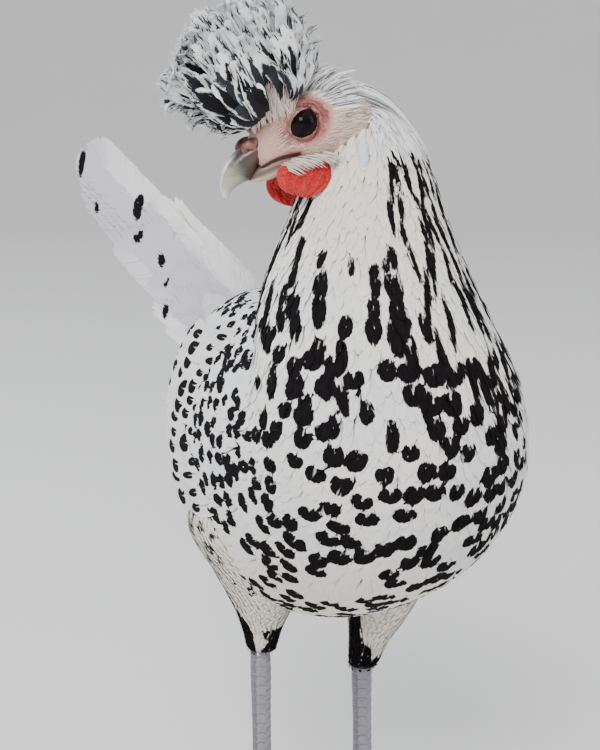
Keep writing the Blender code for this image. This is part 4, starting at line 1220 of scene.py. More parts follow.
def barb_lines(line, face, half, per, reach, spread, low, draw, stops):
    """Loose barbs along both edges of many vanes: curves that leave each vane's plane little by little."""
    count, last = len(line), line.shape[1] - 1
    at = draw.uniform(low, 0.94, (count, per)) * last
    i = np.minimum(at.astype(int), last - 1)
    f = (at - i)[..., None]
    which = np.arange(count)[:, None]
    side = draw.choice((-1.0, 1.0), (count, per, 1))
    start = line[which, i] * (1 - f) + line[which, i + 1] * f
    way, out = unit(line[which, i + 1] - line[which, i]), unit(face[which, i])
    across = np.cross(way, out) * side
    wide = (half[which, i] * (1 - f[..., 0]) + half[which, i + 1] * f[..., 0])[..., None]
    length = draw.uniform(0.6, 1.2, (count, per, 1)) * reach * MM
    turn = draw.uniform(0.5, 1.3, (count, per, 1)) * spread
    lift = draw.normal(0, 0.22, (count, per, 1))
    start = start + across * wide * draw.uniform(0.45, 0.95, (count, per, 1))
    s = np.linspace(0, 1, stops)[:, None]
    run = (way * np.cos(turn) + across * np.sin(turn) + out * lift)[:, :, None]
    rolled = unit(line[:, -1] - line[:, -3])[:, None, None] - way[:, :, None]
    bend = rolled * 0.6 - across[:, :, None] * 0.35
    places = start[:, :, None] + length[:, :, None] * (run * s + bend * s * s)
    faces = np.broadcast_to(out[:, :, None], places.shape)
    return places.reshape(-1, stops, 3), faces.reshape(-1, stops, 3), (at / last).ravel()


def make_crest():
    """A full tuft: broad streaked plumes in three depths, loose barbs at their edges, and fine strands."""
    stations = np.concatenate((np.linspace(0, 0.87, 8), 0.87 + 0.026 * np.arange(1, 6)))
    rounded = np.sqrt(1 - 0.9 * np.clip((stations - 0.80) / 0.2, 0, 1) ** 2)
    broad = (0.36 + 0.64 * smooth(0.0, 0.62, stations)) * rounded
    groups = (
        ("crest_plumes", 140, 0.98, 34, 3.5, 75, 0.30, 0.0),
        ("crest_middle", 130, 0.90, 38, 3.3, 60, 0.30, 0.05),
        ("crest_under", 100, 0.77, 42, 3.1, 50, 0.30, 0.12),
        ("crest_strands", 170, 0.97, 38, 0.30, 60, 0.10, 0.0),
    )
    made = []
    for n, (name, count, size, lean, width, curl, bow, darker) in enumerate(groups):
        line, face, draw, fan = crest_lines(count, size, lean, 300 + n, curl)
        fan = np.degrees(fan)
        narrow = 1 - 0.48 * smooth(135, 195, fan) - 0.15 * smooth(0, -45, fan)
        half = broad * width * MM * (narrow * draw.uniform(0.75, 1.15, count))[:, None]
        half = half * draw.uniform(0.86, 1.12, half.shape)
        roots = np.stack((0.90 + 0.07 * draw.random(count), draw.uniform(0.03, 0.97, count)), -1)
        shade = 1.0 - 0.13 * smooth(35, 75, fan) - 0.12 * smooth(90, 130, fan) - 0.15 * smooth(150, 200, fan)
        shade = shade + darker + draw.uniform(-0.16, 0.08, count)
        if name == "crest_strands":
            shade = np.where(draw.random(count) < 0.6, 0.0, 0.95)
        made.append(vanes(
            name, line, face, half, 0.2 * MM, stations, bow, draw.uniform(-0.4, 0.4, count), roots,
            feather_values(count, 320 + n, dark=shade),
        ))
        if n < 2:
            loose, ways, at = barb_lines(line, face, half, 15, 3.4, 0.34, 0.52, draw, 4 - n)
            count = len(loose)
            s = np.linspace(0, 1, 4 - n)
            near_root = (at < 0.80) & (draw.random(count) < 0.55)
            made.append(vanes(
                name + "_barbs", loose, ways, (0.30 - 0.22 * s**1.7) * MM, 0.12 * MM, s,
                0.1, draw.uniform(-0.5, 0.5, count), np.repeat(roots, 15, axis=0),
                feather_values(count, 330 + n, dark=np.where(near_root, 1.3, 0.0)),
            ))
    core, stem = [], []
    sin, cos = sin_cos(once_round(28))
    for lat in np.linspace(0.06, math.pi - 0.06, 20):
        way = np.stack((0 * sin - math.cos(lat), math.sin(lat) * sin, math.sin(lat) * cos), -1)
        core.append(in_crest(way * CREST_RADII * np.array((0.55, 0.42, 0.5))))
    for s in np.linspace(0, 1, 12):
        at = in_head(0.0085 + 0.004 * s, 0, 0.006 + 0.014 * s)
        wide = 0.0078 + 0.001 * s
        stem.append(at + np.outer(cos, AHEAD) * wide * 1.15 + np.outer(sin, LEFT) * wide * 0.85)
    r = Recipe("crest_base", 0.85)
    r.colour(r.mix(r.noise(300.0, 4.0), (0.012, 0.012, 0.014), (0.10, 0.10, 0.11)))
    r.relief(r.noise(800.0, 4.0), 0.0006, 0.6)
    plume = crest_finish()
    finish(made[0], plume, "crest_feather", "crest")
    finish(made[1:], plume, "crest_feather")
    shape = join_shapes([loft(core, (0.2, 0.2)), loft(stem, (0.1, 0.1))])
    add_piece("crest_root", shape, r.material, "crest_feather")


def forehead_strands():
    """Cream strands that rise from the forehead over the crest's root, longest in front, and two stray ones.

    Each is a parabola from the skin through a place out to its side to a tip above.
    """
    draw = np.random.default_rng(341)
    count = 460
    side = by_turns(count)
    t = draw.uniform(-0.05, 1.0, count)
    ahead = (17.0 - 15.5 * t) * MM
    q = row_at(HEAD, ahead)
    turn = (20 + 24 * smooth(0, 0.7, t) + np.clip(draw.normal(0, 9, count), -18, 13)) * side
    start = head(q, turn) - way_out(head, q, turn) * 1.2 * MM
    a, l, u = head_local(start)
    rise = (22 - 10.5 * t) * MM * draw.uniform(0.45, 1.05, count)
    tip_up = u + rise
    tip_left = side * (8.0 * MM + 0.55 * np.maximum(tip_up - 8.0 * MM, 0)) + draw.normal(0, 1.0, count) * MM
    tip_ahead = a + (2.0 - 7.5 * t) * MM * (rise / 0.020) + draw.normal(0, 2.2, count) * MM
    bend = in_head(a + (tip_ahead - a) * 0.3, l + (tip_left - l) * 0.45 + side * 1.6 * MM, u + rise * 0.5)
    end = in_head(tip_ahead, tip_left, tip_up)
    extra = np.array(((0.0062, 0.0050, 0.0400), (0.0085, 0.0050, 0.0385)))
    extra_end = np.array(((0.0016, 0.0052, 0.0520), (0.0040, 0.0066, 0.0515)))
    start = np.concatenate((start, in_head(*extra.T)))
    bend = np.concatenate((bend, in_head(*(extra * 0.4 + extra_end * 0.6 + (0.0012, 0.0, 0.0)).T)))
    end = np.concatenate((end, in_head(*extra_end.T)))
    count += 2
    s = np.linspace(0, 1, 7)
    line = bezier(s[None, :, None], start[:, None], bend[:, None], end[:, None])
    face = unit(line - in_head(0.009, 0.0, 0.014))
    half = draw.uniform(0.20, 0.42, count)[:, None] * MM * np.array((0.6, 1.1, 1.0, 0.85, 0.65, 0.40, 0.12))
    piece = vanes(
        "forehead_strands", line, face, half, 0.2 * MM, s, 0.3, draw.uniform(-0.5, 0.5, count),
        None, feather_values(count, 342, streak=0.0, white=draw.uniform(0, 0.5, count)),
    )
    finish(piece, face_finish(), "crest_feather")


# Tail

TAIL_ROOT = np.array((-0.004, 0.088, 0.212))
TAIL_YAW, TAIL_PITCH = 16.0, 35.0
TAIL_LENGTH = 130 * MM
TAIL_ROOF = 58.0
# Where a tail feather's tip begins to round off
SHOULDER = 0.94
# Tail core sections: along, half width, height above and below
TAIL_CORE = (
    (-0.018, 0.018, 0.017, 0.024),
    (0.000, 0.017, 0.016, 0.024),
    (0.018, 0.012, 0.011, 0.018),
    (0.034, 0.006, 0.006, 0.010),
)


def tail_axes():
    """The tail's ways along, right and up: level and back, turned by the yaw and raised by the pitch."""
    yaw, pitch = math.radians(TAIL_YAW), math.radians(TAIL_PITCH)
    level = np.array((-math.sin(yaw), math.cos(yaw), 0.0))
    away = level * math.cos(pitch) + UP * math.sin(pitch)
    right = unit(np.cross(away, UP))
    return away, right, np.cross(right, away)


def slopes(side):
    """The way out of one slope of the tail's roof and the way down it, for arrays of sides 1 and -1."""
    away, right, up = tail_axes()
    roof = math.radians(TAIL_ROOF)
    face = unit(np.outer(side, right) * math.sin(roof) + up * math.cos(roof))
    return face, unit(np.outer(side, right) * math.cos(roof) - up * math.sin(roof))


def tail_marks():
    """Few black marks on both slopes: (along, down, half width, half length, cleft, slant), mm, degrees."""
    rows = [
        (121.5, 16.5, 2.1, 7.4, 0.15, -47),
        (80.0, 10.0, 2.9, 7.4, 0.1, -49),
        (66.5, 17.6, 2.9, 4.2, 0.2, -60),
        (49.1, 17.1, 2.1, 4.8, 0.0, -27),
        (37.8, 21.8, 1.5, 2.4, 0.0, -47),
        (27.8, 30.0, 1.8, 5.4, 0.0, -47),
        (99.8, 25.0, 1.4, 3.0, 0.0, -47),
    ]
    away = tail_axes()[0]
    groups = []
    for side in (1, -1):
        (face,), (slope,) = slopes([side])
        far, down, half, long, cleft, slant = np.array(rows).T
        place = TAIL_ROOT + np.outer(far * MM, away) + tail_axes()[2] * 8 * MM + np.outer(down * MM, slope)
        slant = np.radians(slant)[:, None]
        along_it, across = turned_by(slant, away, slope)
        groups.append({
            "place": place, "down": along_it, "across": across, "out": np.broadcast_to(face, place.shape),
            "half": half, "long": long, "cleft": cleft,
        })
    return all_marks(groups)


def barbed(name, side, far, length, down, inward, half, per, reach, wide, seed, stations):
    """Feathers on one slope of the tail's roof, each made of fine vanes that leave its shaft on both sides.

    A shaft runs from far along the tail, sliding down the slope and in from it by straight lines between
    the values at its root and at its tip; a barb leaves it square on, bends towards the tip and ends at
    the feather's edge, half away, with reach more along the tail.
    """
    away, _, up = tail_axes()
    face, slope = slopes(side)
    draw = np.random.default_rng(seed)
    count, stops = len(far), len(stations)
    tip = per // 4
    past = (1 - SHOULDER) * np.arange(1, tip + 1) / tip
    s = np.concatenate((np.linspace(0.03, SHOULDER, per - tip), SHOULDER + past))[None, :, None]
    sag = draw.uniform(-1.5, 1.5, count)[:, None, None] * MM * s * s
    far, length, half = (v[:, None, None] for v in (far, length, half))
    shaft = TAIL_ROOT + away * (far + length * s) + up * (8 * MM) + up * sag
    for direction, (first, final) in ((slope, down), (-face, inward)):
        shaft = shaft + direction[:, None] * (first[:, None, None] + (final - first)[:, None, None] * s) * MM
    way = unit(np.gradient(shaft, axis=1))
    round_off = np.clip((s - SHOULDER) / (1 - SHOULDER), 0, 1) * math.radians(80)
    shape = (0.45 + 0.55 * smooth(0, 0.35, s)) * np.cos(round_off)
    lines = []
    t = stations[None, None, :, None]
    for edge in (1, -1):
        across = unit(np.cross(way, face[:, None])) * edge
        out = half * MM * shape * draw.uniform(0.98, 1.02, (count, per, 1))
        forward = half * MM * 0.8 * np.sin(round_off) - length * np.maximum(s - SHOULDER, 0)
        on = reach * MM * draw.uniform(0.92, 1.08, (count, per, 1)) + forward
        bend, end = across * out * 0.62 + way * on * 0.28, across * out + way * on
        drop = -face[:, None] * out * 0.10
        curve = bezier(t, 0.0, bend[:, :, None], (end + drop)[:, :, None])
        lift = face[:, None, None] * (draw.uniform(-0.10, 0.10, (count, per, 1, 1)) * MM)
        lines.append((shaft[:, :, None] + curve + lift).reshape(-1, stops, 3))
    rachis = shaft[:, np.linspace(0, per - 1, stops).astype(int)] - face[:, None] * 0.15 * MM
    line = np.concatenate((*lines, rachis))
    ways = np.broadcast_to(face[:, None, None], (count, per, stops, 3)).reshape(-1, stops, 3)
    ways = np.concatenate((ways, ways, np.broadcast_to(face[:, None], rachis.shape)))
    total = len(line)
    profile = np.interp(stations, (0, 0.25, 0.6, 0.85, 1.0), (0.85, 0.95, 1.0, 0.85, 0.35))
    halves = wide * MM * draw.uniform(0.85, 1.15, total)[:, None] * profile
    halves[-count:] = 0.6 * MM * np.linspace(1, 0.5, stops)
    roots = np.stack((0.03 + 0.03 * draw.random(total), draw.uniform(0.03, 0.97, total)), -1)
    slope = np.concatenate((np.tile(np.repeat(slope, per, axis=0), (2, 1)), slope))
    low = ((line[:, stops // 2] - TAIL_ROOT - up * 8 * MM) * slope).sum(axis=1) / MM
    # grey is a painted shade: the middle band of each tail slope darkened, its top band and lower rim left
    # white
    grey = 0.95 * smooth(-1.0, 6.0, low) * smooth(34.0, 27.0, low)
    return vanes(
        name, line, ways, halves, 0.16 * MM, stations, 0.08, np.radians(draw.uniform(-3, 3, total)), roots,
        feather_values(total, seed + 1, cream=0.0, grey=grey), tail_marks(), 0.75,
    )


def make_tail():
    """Ten long feathers in a steep roof, and tiers of softer coverts over their roots."""
    i = np.tile(np.arange(5), 2)
    side = np.repeat((1, -1), 5)
    lower = np.where(side == 1, 6.0, 1.5)
    length = TAIL_LENGTH * (1 - 0.028 * i) - 12 * MM
    down = (3.5 + 4.4 * i + lower, 8.0 + 2.3 * i + lower)
    inward = (1.2 * i + 0.2, 1.3 * i)
    far, half = np.full(10, -0.004), np.full(10, 10.5)
    pieces = [barbed("tail_vanes", side, far, length, down, inward, half, 84, 12.0, 1.5, 41, LONG)]
    draw = np.random.default_rng(43)
    for tier, (count, near, reach, long, out, wide, per, on) in enumerate((
        (26, 0.002, 0.022, 38 * MM, -1.6, 8.0, 22, 9.0), (60, -0.018, 0.022, 32 * MM, -2.6, 7.0, 18, 8.0),
        (90, -0.030, 0.012, 22 * MM, -3.2, 6.0, 13, 7.5),
    )):
        side = by_turns(count)
        low = np.where(side == 1, 11.0, (4.0, 1.0, 0.0)[tier])
        far = draw.uniform(near, near + reach, count)
        span = draw.random(count)
        start = -1 + (28 - low) * span + low
        end = start * 1.05 + 0.5
        lift = (np.full(count, out), out * draw.uniform(0.8, 1.5, count) + 0.6)
        pieces.append(barbed(
            "tail_coverts_%d" % (tier + 1), side, far, long * draw.uniform(0.85, 1.1, count), (start, end),
            lift, wide * draw.uniform(0.85, 1.1, count), per, on, 1.35, 44 + 3 * tier, np.linspace(0, 1, 4),
        ))
    count = 36
    side, far = by_turns(count), draw.uniform(-0.012, 0.036, count)
    start = draw.uniform(-5, 2, count) - 10 * far + np.where(side == 1, 8.0, 0.0)
    pieces.append(barbed(
        "tail_saddle", side, far, 27 * MM * draw.uniform(0.8, 1.1, count), (start, start * 0.5 - 0.5),
        (np.full(count, -2.0), draw.uniform(-3.0, -1.2, count)), draw.uniform(4.5, 6.5, count),
        9, 8.0, 1.6, 55, np.linspace(0, 1, 5),
    ))
    finish(pieces[0], fine_coat, "pale_feather", "tail")
    finish(pieces[1:], fine_coat, "pale_feather")
    away, right, up = tail_axes()
    rings = []
    for q in np.linspace(0, 3, 16):
        far, wide, above, below = along(TAIL_CORE, q)
        sin, cos = sin_cos(once_round(28))
        high = cos * np.where(cos > 0, above, below)
        centre = TAIL_ROOT + away * far - up * 0.006
        rings.append(centre + np.outer(sin * wide, right) * 0.9 + np.outer(high * 0.9, up))
    r = Recipe("down_base", 0.85)
    r.colour(r.mix(r.noise(240.0, 4.0), (0.40, 0.40, 0.41), (0.70, 0.69, 0.67)))
    r.relief(r.noise(600.0, 4.0), 0.0006, 0.6)
    add_piece("tail_root", loft(rings, (0.1, 0.3)), r.material, "pale_feather")


# Wings


def wing_rows(side, start, end, out):
    """Straight vanes from one place of a flank to another, as (q, turn) of the left one, risen by out."""
    stations = np.array((0.0, 0.22, 0.45, 0.68, 0.86, 0.95, 1.0))
    q = start[0][:, None] + (end[0] - start[0])[:, None] * stations
    turn = start[1][:, None] + (end[1] - start[1])[:, None] * stations
    normal = way_out(trunk, q, turn) * (side, 1, 1)
    rise = out[0] + (out[1] - out[0]) * stations
    return trunk(q, turn) * (side, 1, 1) + normal * rise[:, None] * MM, normal, stations


def make_wings():
    """Folded wings: flight feathers tier over tier behind, spangled coverts laid over their roots."""
    tiers = (
        ("primaries", 4, (3.0, 2.7), (1.25, 0.95), (92, 78), (94, 74), (-1.0, 2.0), 6.0, (0.5, 5.0)),
        ("secondaries", 10, (3.7, 3.4), (1.90, 1.65), (98, 50), (104, 50), (-1.2, 2.6), 7.0, (0.55, 5.0)),
        ("coverts", 12, (4.1, 3.8), (2.95, 2.7), (100, 48), (106, 48), (-1.4, 3.1), 6.0, (0.6, 4.0)),
        ("bar", 13, (4.5, 4.2), (3.5, 3.25), (101, 46), (106, 46), (-1.6, 3.3), 5.4, (0.6, 3.6)),
    )
    for side, name in SIDES:
        made = []
        for tier, (kind, count, q0, q1, t0, t1, out, half, spot) in enumerate(tiers):
            draw = np.random.default_rng(61 + 10 * tier + side)
            f = np.linspace(0, 1, count)
            start = (bezier(f, *q0) + draw.uniform(-0.14, 0.14, count), bezier(f, *t0))
            end = (bezier(f, *q1) + draw.uniform(-0.18, 0.18, count), bezier(f, *t1))
            line, ways, stations = wing_rows(side, start, end, out)
            length = np.linalg.norm(line[:, -1] - line[:, 0], axis=1)
            widths = half * MM * ROUNDED * draw.uniform(0.92, 1.06, count)[:, None]
            values = feather_values(
                count, 62 + tier, spot_w=spot[0] * draw.uniform(0.45, 1.2, count),
                spot_l=spot[1] * draw.uniform(0.7, 1.3, count) * MM / length,
                spot_y=1 - (spot[1] + draw.uniform(0.6, 3.5, count)) * MM / length, notch=0.15,
            )
            roots = np.stack((0.2 + 0.03 * f, (0.25 if side == 1 else 0.75) + 0.02 * f), -1)
            made.append(vanes(
                "wing_%s_%s" % (name, kind), line, ways, widths, 0.3 * MM, stations, 0.05,
                math.radians(5.0 * side), roots, values,
            ))
        finish(made[0], plumage, "pale_feather", "wing_" + name)
        finish(made[1:], plumage, "pale_feather")


# Thighs


def upside(side):
    """A thigh's skin with its places counted from the hock up, so that feathers lie downward."""
    leg = thigh(side)

    def place(q, turn):
        """The thigh at 5 less q."""
        return leg(5 - np.asarray(q), turn)

    return place


def thigh_marks(side):
    """Black patches down each thigh's edges, as (q, turn, half width, half length), and loose ones behind."""
    rows = {
        1: (
            (0.15, -95, 4.5, 4.5), (0.2, -50, 4.5, 4.6), (0.3, -8, 4.4, 4.6), (0.35, 36, 3.0, 3.4),
            (0.7, -85, 5.0, 5.0), (0.85, -45, 3.4, 3.6), (1.3, -85, 5.2, 5.4), (1.9, -88, 5.0, 5.6),
            (2.5, -92, 4.6, 5.4), (1.0, 56, 1.2, 4.0), (1.5, 54, 1.4, 4.2), (2.0, 50, 1.5, 4.6),
            (2.6, 46, 1.5, 4.6), (1.25, 8, 1.3, 2.4), (1.4, 28, 1.2, 2.4),
        ),
        -1: (
            (0.2, -74, 2.6, 4.2), (0.15, 0, 3.4, 4.2), (0.3, 38, 3.0, 4.0), (0.6, -78, 2.9, 4.0),
            (1.0, -80, 3.3, 4.5), (1.4, -84, 3.1, 4.0), (1.8, -98, 2.2, 4.0), (2.3, -104, 1.8, 4.0),
            (1.05, -9, 3.5, 3.4), (0.65, 22, 3.7, 4.2), (1.05, 28, 3.3, 4.2), (1.2, -97, 3.0, 4.0),
            (0.5, -110, 2.5, 4.0), (0.5, 75, 3.0, 4.0),
        ),
    }[side]
    surface = upside(side)
    q, turn = scatter(surface, (0.1, 4.6), (75, 235), lambda q, t: 5.6 * MM + 0 * q, 5000, 71 + side)
    draw = np.random.default_rng(73 + side)
    shown = draw.random(len(q)) < 0.6
    loose = np.stack((q, turn, draw.uniform(1.8, 3.2, len(q)), draw.uniform(3.2, 5.0, len(q))), -1)[shown]
    q, turn = scatter(surface, (2.7, 4.8), (-125, 75), lambda q, t: 7.6 * MM + 0 * q, 5000, 171 + side)
    high = np.stack((q, turn, draw.uniform(1.5, 2.7, len(q)), draw.uniform(2.6, 4.6, len(q))), -1)
    q, turn, half, long = np.concatenate((rows, loose, high)).T
    slant = draw.normal(0, 0.12, len(q)) + 0.5 * smooth(2.5, 2.8, q) * (np.abs(turn + 25) < 100)
    return marks(surface, q, turn, half, long, 0.25, slant)


def thigh_feathers():
    """Short hair-like vanes that lie down each thigh and end just below its hem."""
    def gap(q, turn):
        """The distance between vanes, 1.35 mm at the hock and 1.85 mm above."""
        return (1.35 + 0.5 * smooth(0, 3, q)) * MM

    for side, name in SIDES:
        surface = upside(side)
        q, turn = scatter(surface, (0.02, 4.8), (0, 360), gap, 60000, 75 + side)
        draw = np.random.default_rng(77 + side)
        wide = smooth(0.3, 3, q)
        length = (8.5 + 4.5 * wide) * MM * draw.uniform(0.75, 1.25, len(q))
        path = surface(0.2 + (q - 0.2) * np.linspace(0, 1, 12)[:, None], turn)
        to_hem = np.linalg.norm(np.diff(path, axis=0), axis=2).sum(axis=0)
        length = np.minimum(length, to_hem + (0.4 + 1.4 * draw.random(len(q)) ** 2) * MM)
        half = (0.70 + 0.55 * wide) * MM * draw.uniform(0.8, 1.2, len(q))
        depth, end = (1.0 + 0.6 * wide) * MM, 0.1 * MM + 0 * q
        # cream=0.9 paints a warm shade over the thighs, which lie out of the light
        piece = fine_vanes(
            "thigh_feathers_" + name, surface, q, turn, length, half, depth, end, thigh_marks(side),
            79 + side, on_map(0.8 + 0.01 * q, turn), bow=0.10, ease=0.80, stray=130, rows=HAIR, cream=0.9,
        )
        finish(piece, fine_coat, "white_feather")


# Legs, toes and claws


def plate_relief(far, turn, round_by, columns):
    """Relief in mm, depth in a groove and shade of scaly skin: rows of overlapping plates, beads between.

    far is the distance in mm along the limb, turn the angle round it in degrees, round_by its radius in mm.
    Each row of plates is (middle, half width in degrees, pitch, shift, arch, height); f runs over one plate
    from its raised edge to the next one's, and the arch bows the edge over the row's width.
    """
    row = np.floor(far / 1.3)
    beside = (np.radians(turn) * round_by / 1.35 + 0.5 * (row % 2)) % 1 - 0.5
    within = np.maximum(np.abs(beside), np.abs(far / 1.3 - row - 0.5))
    pillow = smooth(0.5, 0.30, within)
    high, groove, shade = 0.20 * pillow, 1 - pillow, 0.35 + 0.3 * np.sin(row * 2.4)
    for middle, half, pitch, shift, arch, height in columns:
        aside = ((turn - middle + 180) % 360 - 180) / half
        phase = (far + arch * aside**2) / pitch + shift
        f, number = phase % 1, np.floor(phase)
        rim = np.minimum(smooth(1.0, 0.84, np.abs(aside)), smooth(0.0, 0.11, f))
        on = np.abs(aside) < 1
        high = np.where(on, height * (0.30 + 0.70 * (1 - f) ** 0.8) * rim, high)
        groove = np.where(on, 1 - rim, groove)
        shade = np.where(on, 0.5 + 0.5 * np.sin(number * 37.7 + middle), shade)
    return high, groove, shade


def scaly(centres, axes, radii, far, columns, rows_of_turn, lowest=None):
    """A limb as rings of points with plates raised on it, and its groove and shade values."""
    turn = np.broadcast_to(rows_of_turn, (len(centres), len(rows_of_turn)))
    s, c = (v[..., None] for v in sin_cos(turn))
    ahead, left = (np.asarray(a) for a in axes)
    reach = c * ahead * radii[:, 1][:, None, None] + s * left * radii[:, 0][:, None, None]
    high, groove, shade = plate_relief(far[:, None], turn, radii.mean(axis=1)[:, None] / MM, columns)
    rings = centres[:, None] + reach + unit(reach) * high[..., None] * MM
    if lowest is not None:
        rings[..., 2] = np.maximum(rings[..., 2], lowest)
    return loft(rings, (0.1, 0.1)), with_hubs(groove), with_hubs(shade, 0.5, 0.5)


def scale_finish():
    """Slate-grey scales with a violet cast, each its own shade, and darker grooves."""
    r = Recipe("leg_scales", 0.42, Specular_IOR_Level=0.35)
    grain = r.noise(420.0, 3.0)
    plate = r.mix(r.attribute("shade"), (0.15, 0.15, 0.175), (0.245, 0.235, 0.27))
    plate = r.mix(r.step(grain, 0.4, 0.75) * 0.5, plate, (0.16, 0.165, 0.175))
    r.colour(r.mix(r.attribute("groove") * 0.85, plate, (0.06, 0.058, 0.072)))
    r.relief(grain, 0.00015, 0.5)
    return r.material


def claw_finish():
    """Horn that pales from slate at the claw's root to cream at its point."""
    r = Recipe("claw_horn", 0.35, Specular_IOR_Level=0.4)
    grown = r.noise(300.0, 3.0)
    pale = r.mix(grown, (0.42, 0.37, 0.32), (0.58, 0.53, 0.46))
    r.colour(r.mix(r.step(r.attribute("far"), 0.05, 0.55), (0.16, 0.15, 0.16), pale))
    return r.material


def make_legs():
    """Shanks with two rows of plates before and behind, toes with one row on top, and curved claws."""
    scales, horn = scale_finish(), claw_finish()
    front = ((27, 33, 4.2, 0.0, 0.9, 0.42), (-30, 29, 4.2, 0.5, 0.9, 0.42))
    behind = ((205, 26, 3.4, 0.2, 0.6, 0.30), (152, 26, 3.4, 0.7, 0.6, 0.30))
    for side, name in SIDES:
        foot = np.array((FOOT_AT[0] * side, FOOT_AT[1] - STANCE * side, 0.0))
        z = np.linspace(0.3 * MM, CUFF_Z[name] + 1.5 * MM, 250)
        radii = along(SHANK, row_at(SHANK, z))[:, 1:] - 0.10 * MM
        centres = foot + np.stack((0 * z, 0.002 * z / HOCK_Z, z), -1)
        axes = (np.array((0.0, -1.0, 0.0)), np.array((1.0, 0.0, 0.0)))
        shape, groove, shade = scaly(centres, axes, radii, z / MM, front + behind, once_round(72))
        values = {"groove": groove, "shade": shade}
        add_piece("shank_scales_" + name, shape, scales, "slate_scale", "shank_" + name, **values)
        toes, claws, grooves, shades, ends = [], [], [], [], []
        for _, heading, length, radius in TOES:
            heading = math.radians(heading) * side
            way = np.array((math.sin(heading), -math.cos(heading), 0.0))
            s = np.linspace(-0.04, 1.0, int(length / 0.32))
            joints = 1 + 0.07 * np.cos((s - 0.05) * length / (length / 3.2) * 2 * math.pi)
            r = radius * MM * (1.22 - 0.62 * np.clip(s, 0, 1) ** 0.9) * joints
            r = r * np.sqrt(1 - 0.75 * smooth(0.95, 1.0, s) ** 2)
            high = np.maximum(r - 0.3 * MM, 0.6 * MM)
            centres = foot + np.outer((2 + length * s) * MM, way) + np.outer(high, UP)
            plates = ((0, 68, 2.7, 0.0, -0.7, 0.34),)
            axes, radii = (UP, np.cross(UP, way)), np.stack((r, r), -1)
            shape, groove, shade = scaly(centres, axes, radii, -s * length, plates, once_round(44), 0.1 * MM)
            toes.append(shape)
            grooves.append(groove)
            shades.append(shade)
            f = np.linspace(0, 1, 36)
            base = foot + way * (1.2 + length) * MM + UP * radius * 0.62 * MM
            curve = base + np.outer(9.6 * MM * f, way) + np.outer((1.3 * f - 2.3 * f * f) * MM, UP)
            rings = tube_rings(curve, 1.75 * MM * (1 - 0.86 * f**1.2), 24)
            claws.append(loft(np.maximum(rings, (-9, -9, 0.1 * MM)), (0.1, 0.4)))
            ends.append(with_hubs(np.repeat(f, 24), 0.0, 1.0))
        add_piece(
            "toe_scales_" + name, join_shapes(toes), scales, "slate_scale",
            *("toe_%s_%s" % (row[0], name) for row in TOES),
            groove=np.concatenate(grooves), shade=np.concatenate(shades),
        )
        add_piece(
            "claws_" + name, join_shapes(claws), horn, "claw_horn",
            *("claw_%s_%s" % (row[0], name) for row in TOES), far=np.concatenate(ends),
        )


# Bill, nostrils, eyes, comb, wattles and earlobes


def bill(table, rows, sides):
    """A bill half: egg sections along the table, square to its bend; how far along and round each lies."""
    q, turn = net(len(table) - 1, rows, sides)
    row = along(table, q)
    s, c = sin_cos(turn)
    high = c * np.where(c >= 0, row[..., 4], row[..., 5])
    tilt = np.radians(row[..., 2])
    ahead = row[..., 0] + high * np.sin(tilt)
    up = row[..., 1] + high * np.cos(tilt)
    wide = signed_power(s, 0.92) * row[..., 3]
    far = with_hubs(q, 0.0, len(table) - 1.0) / (len(table) - 1)
    side = with_hubs(np.abs((turn + 180) % 360 - 180), 90.0, 90.0) / 180
    return loft(in_head(ahead, wide, up), (0.0, 0.6)), far, side


def horn_finish():
    """Horn: dark brown at the base, grey-green on the sides, pale along the ridge and at the tip."""
    r = Recipe("bill_horn", 0.34, Coat_Weight=0.2, Coat_Roughness=0.25)
    far, side, lower = r.attribute("far"), r.attribute("side"), r.attribute("lower")
    grown = r.noise(260.0, 3.0, r.node("Mapping", {"Vector": r.place(), "Scale": (1.0, 1.0, 3.0)}))
    shift = (grown - 0.5) * 0.2
    grey = r.mix(r.step(far + shift, 0.36, 0.66), (0.04, 0.042, 0.038), (0.34, 0.35, 0.28))
    pale = r.mix(grown, (0.62, 0.50, 0.39), (0.76, 0.66, 0.54))
    ridge = r.step(side + shift * 0.3, 0.17, 0.06)
    tip = r.step(far + side * -0.1, 0.66, 0.92)
    upper = r.mix(r.math("MAXIMUM", ridge * r.step(far, 0.3, 0.5), tip), grey, pale)
    base = r.step(far + shift, 0.4, 0.22)
    upper = r.mix(base * 0.9, upper, (0.075, 0.03, 0.022))
    # A painted shade: the upper bill's lower edge darkened near the mouth's corner
    gape = r.step(side, 0.56, 0.72) * r.step(far, 0.6, 0.42)
    upper = r.mix(gape * 0.85, upper, (0.055, 0.022, 0.016))
    under = r.mix(grown, (0.52, 0.36, 0.29), (0.68, 0.54, 0.44))
    # A painted shade: the lower bill's top darkened where it lies under the upper bill
    under = r.mix(r.step(side, 0.62, 0.4) * 0.9, under, (0.055, 0.025, 0.02))
    r.colour(r.mix(lower, upper, under))
    r.relief(grown + r.noise(1500.0, 2.0), 0.0003, 0.35)
    return r.material


def make_bill():
    """The two halves of the bill, in one horn."""
    material = horn_finish()
    for name, table, rows, lower, node in (
        ("bill_upper", UPPER_BILL, 70, 0.0, "upper_beak"), ("bill_lower", LOWER_BILL, 50, 1.0, "lower_beak"),
    ):
        shape, far, side = bill(table, rows, 56)
        add_piece(name, shape, material, "horn", node, far=far, side=side, lower=far * 0 + lower)


def ball(centre, axes, radii, rows=40, sides=48, shape=None):
    """An egg with half sizes along three axes; shape changes its unit directions' lengths."""
    lat, spin = np.meshgrid(
        np.linspace(0.03, math.pi - 0.03, rows), np.arange(sides) * 2 * math.pi / sides, indexing="ij")
    way = np.stack((-np.cos(lat), np.sin(lat) * np.sin(spin), np.sin(lat) * np.cos(spin)), -1)
    size = np.ones_like(lat) if shape is None else shape(way)
    reach = way * np.array(radii) * size[..., None]
    rings = np.asarray(centre) + sum(reach[..., i, None] * np.asarray(axes[i]) for i in range(3))
    return loft(rings, (0.05, 0.05)), way


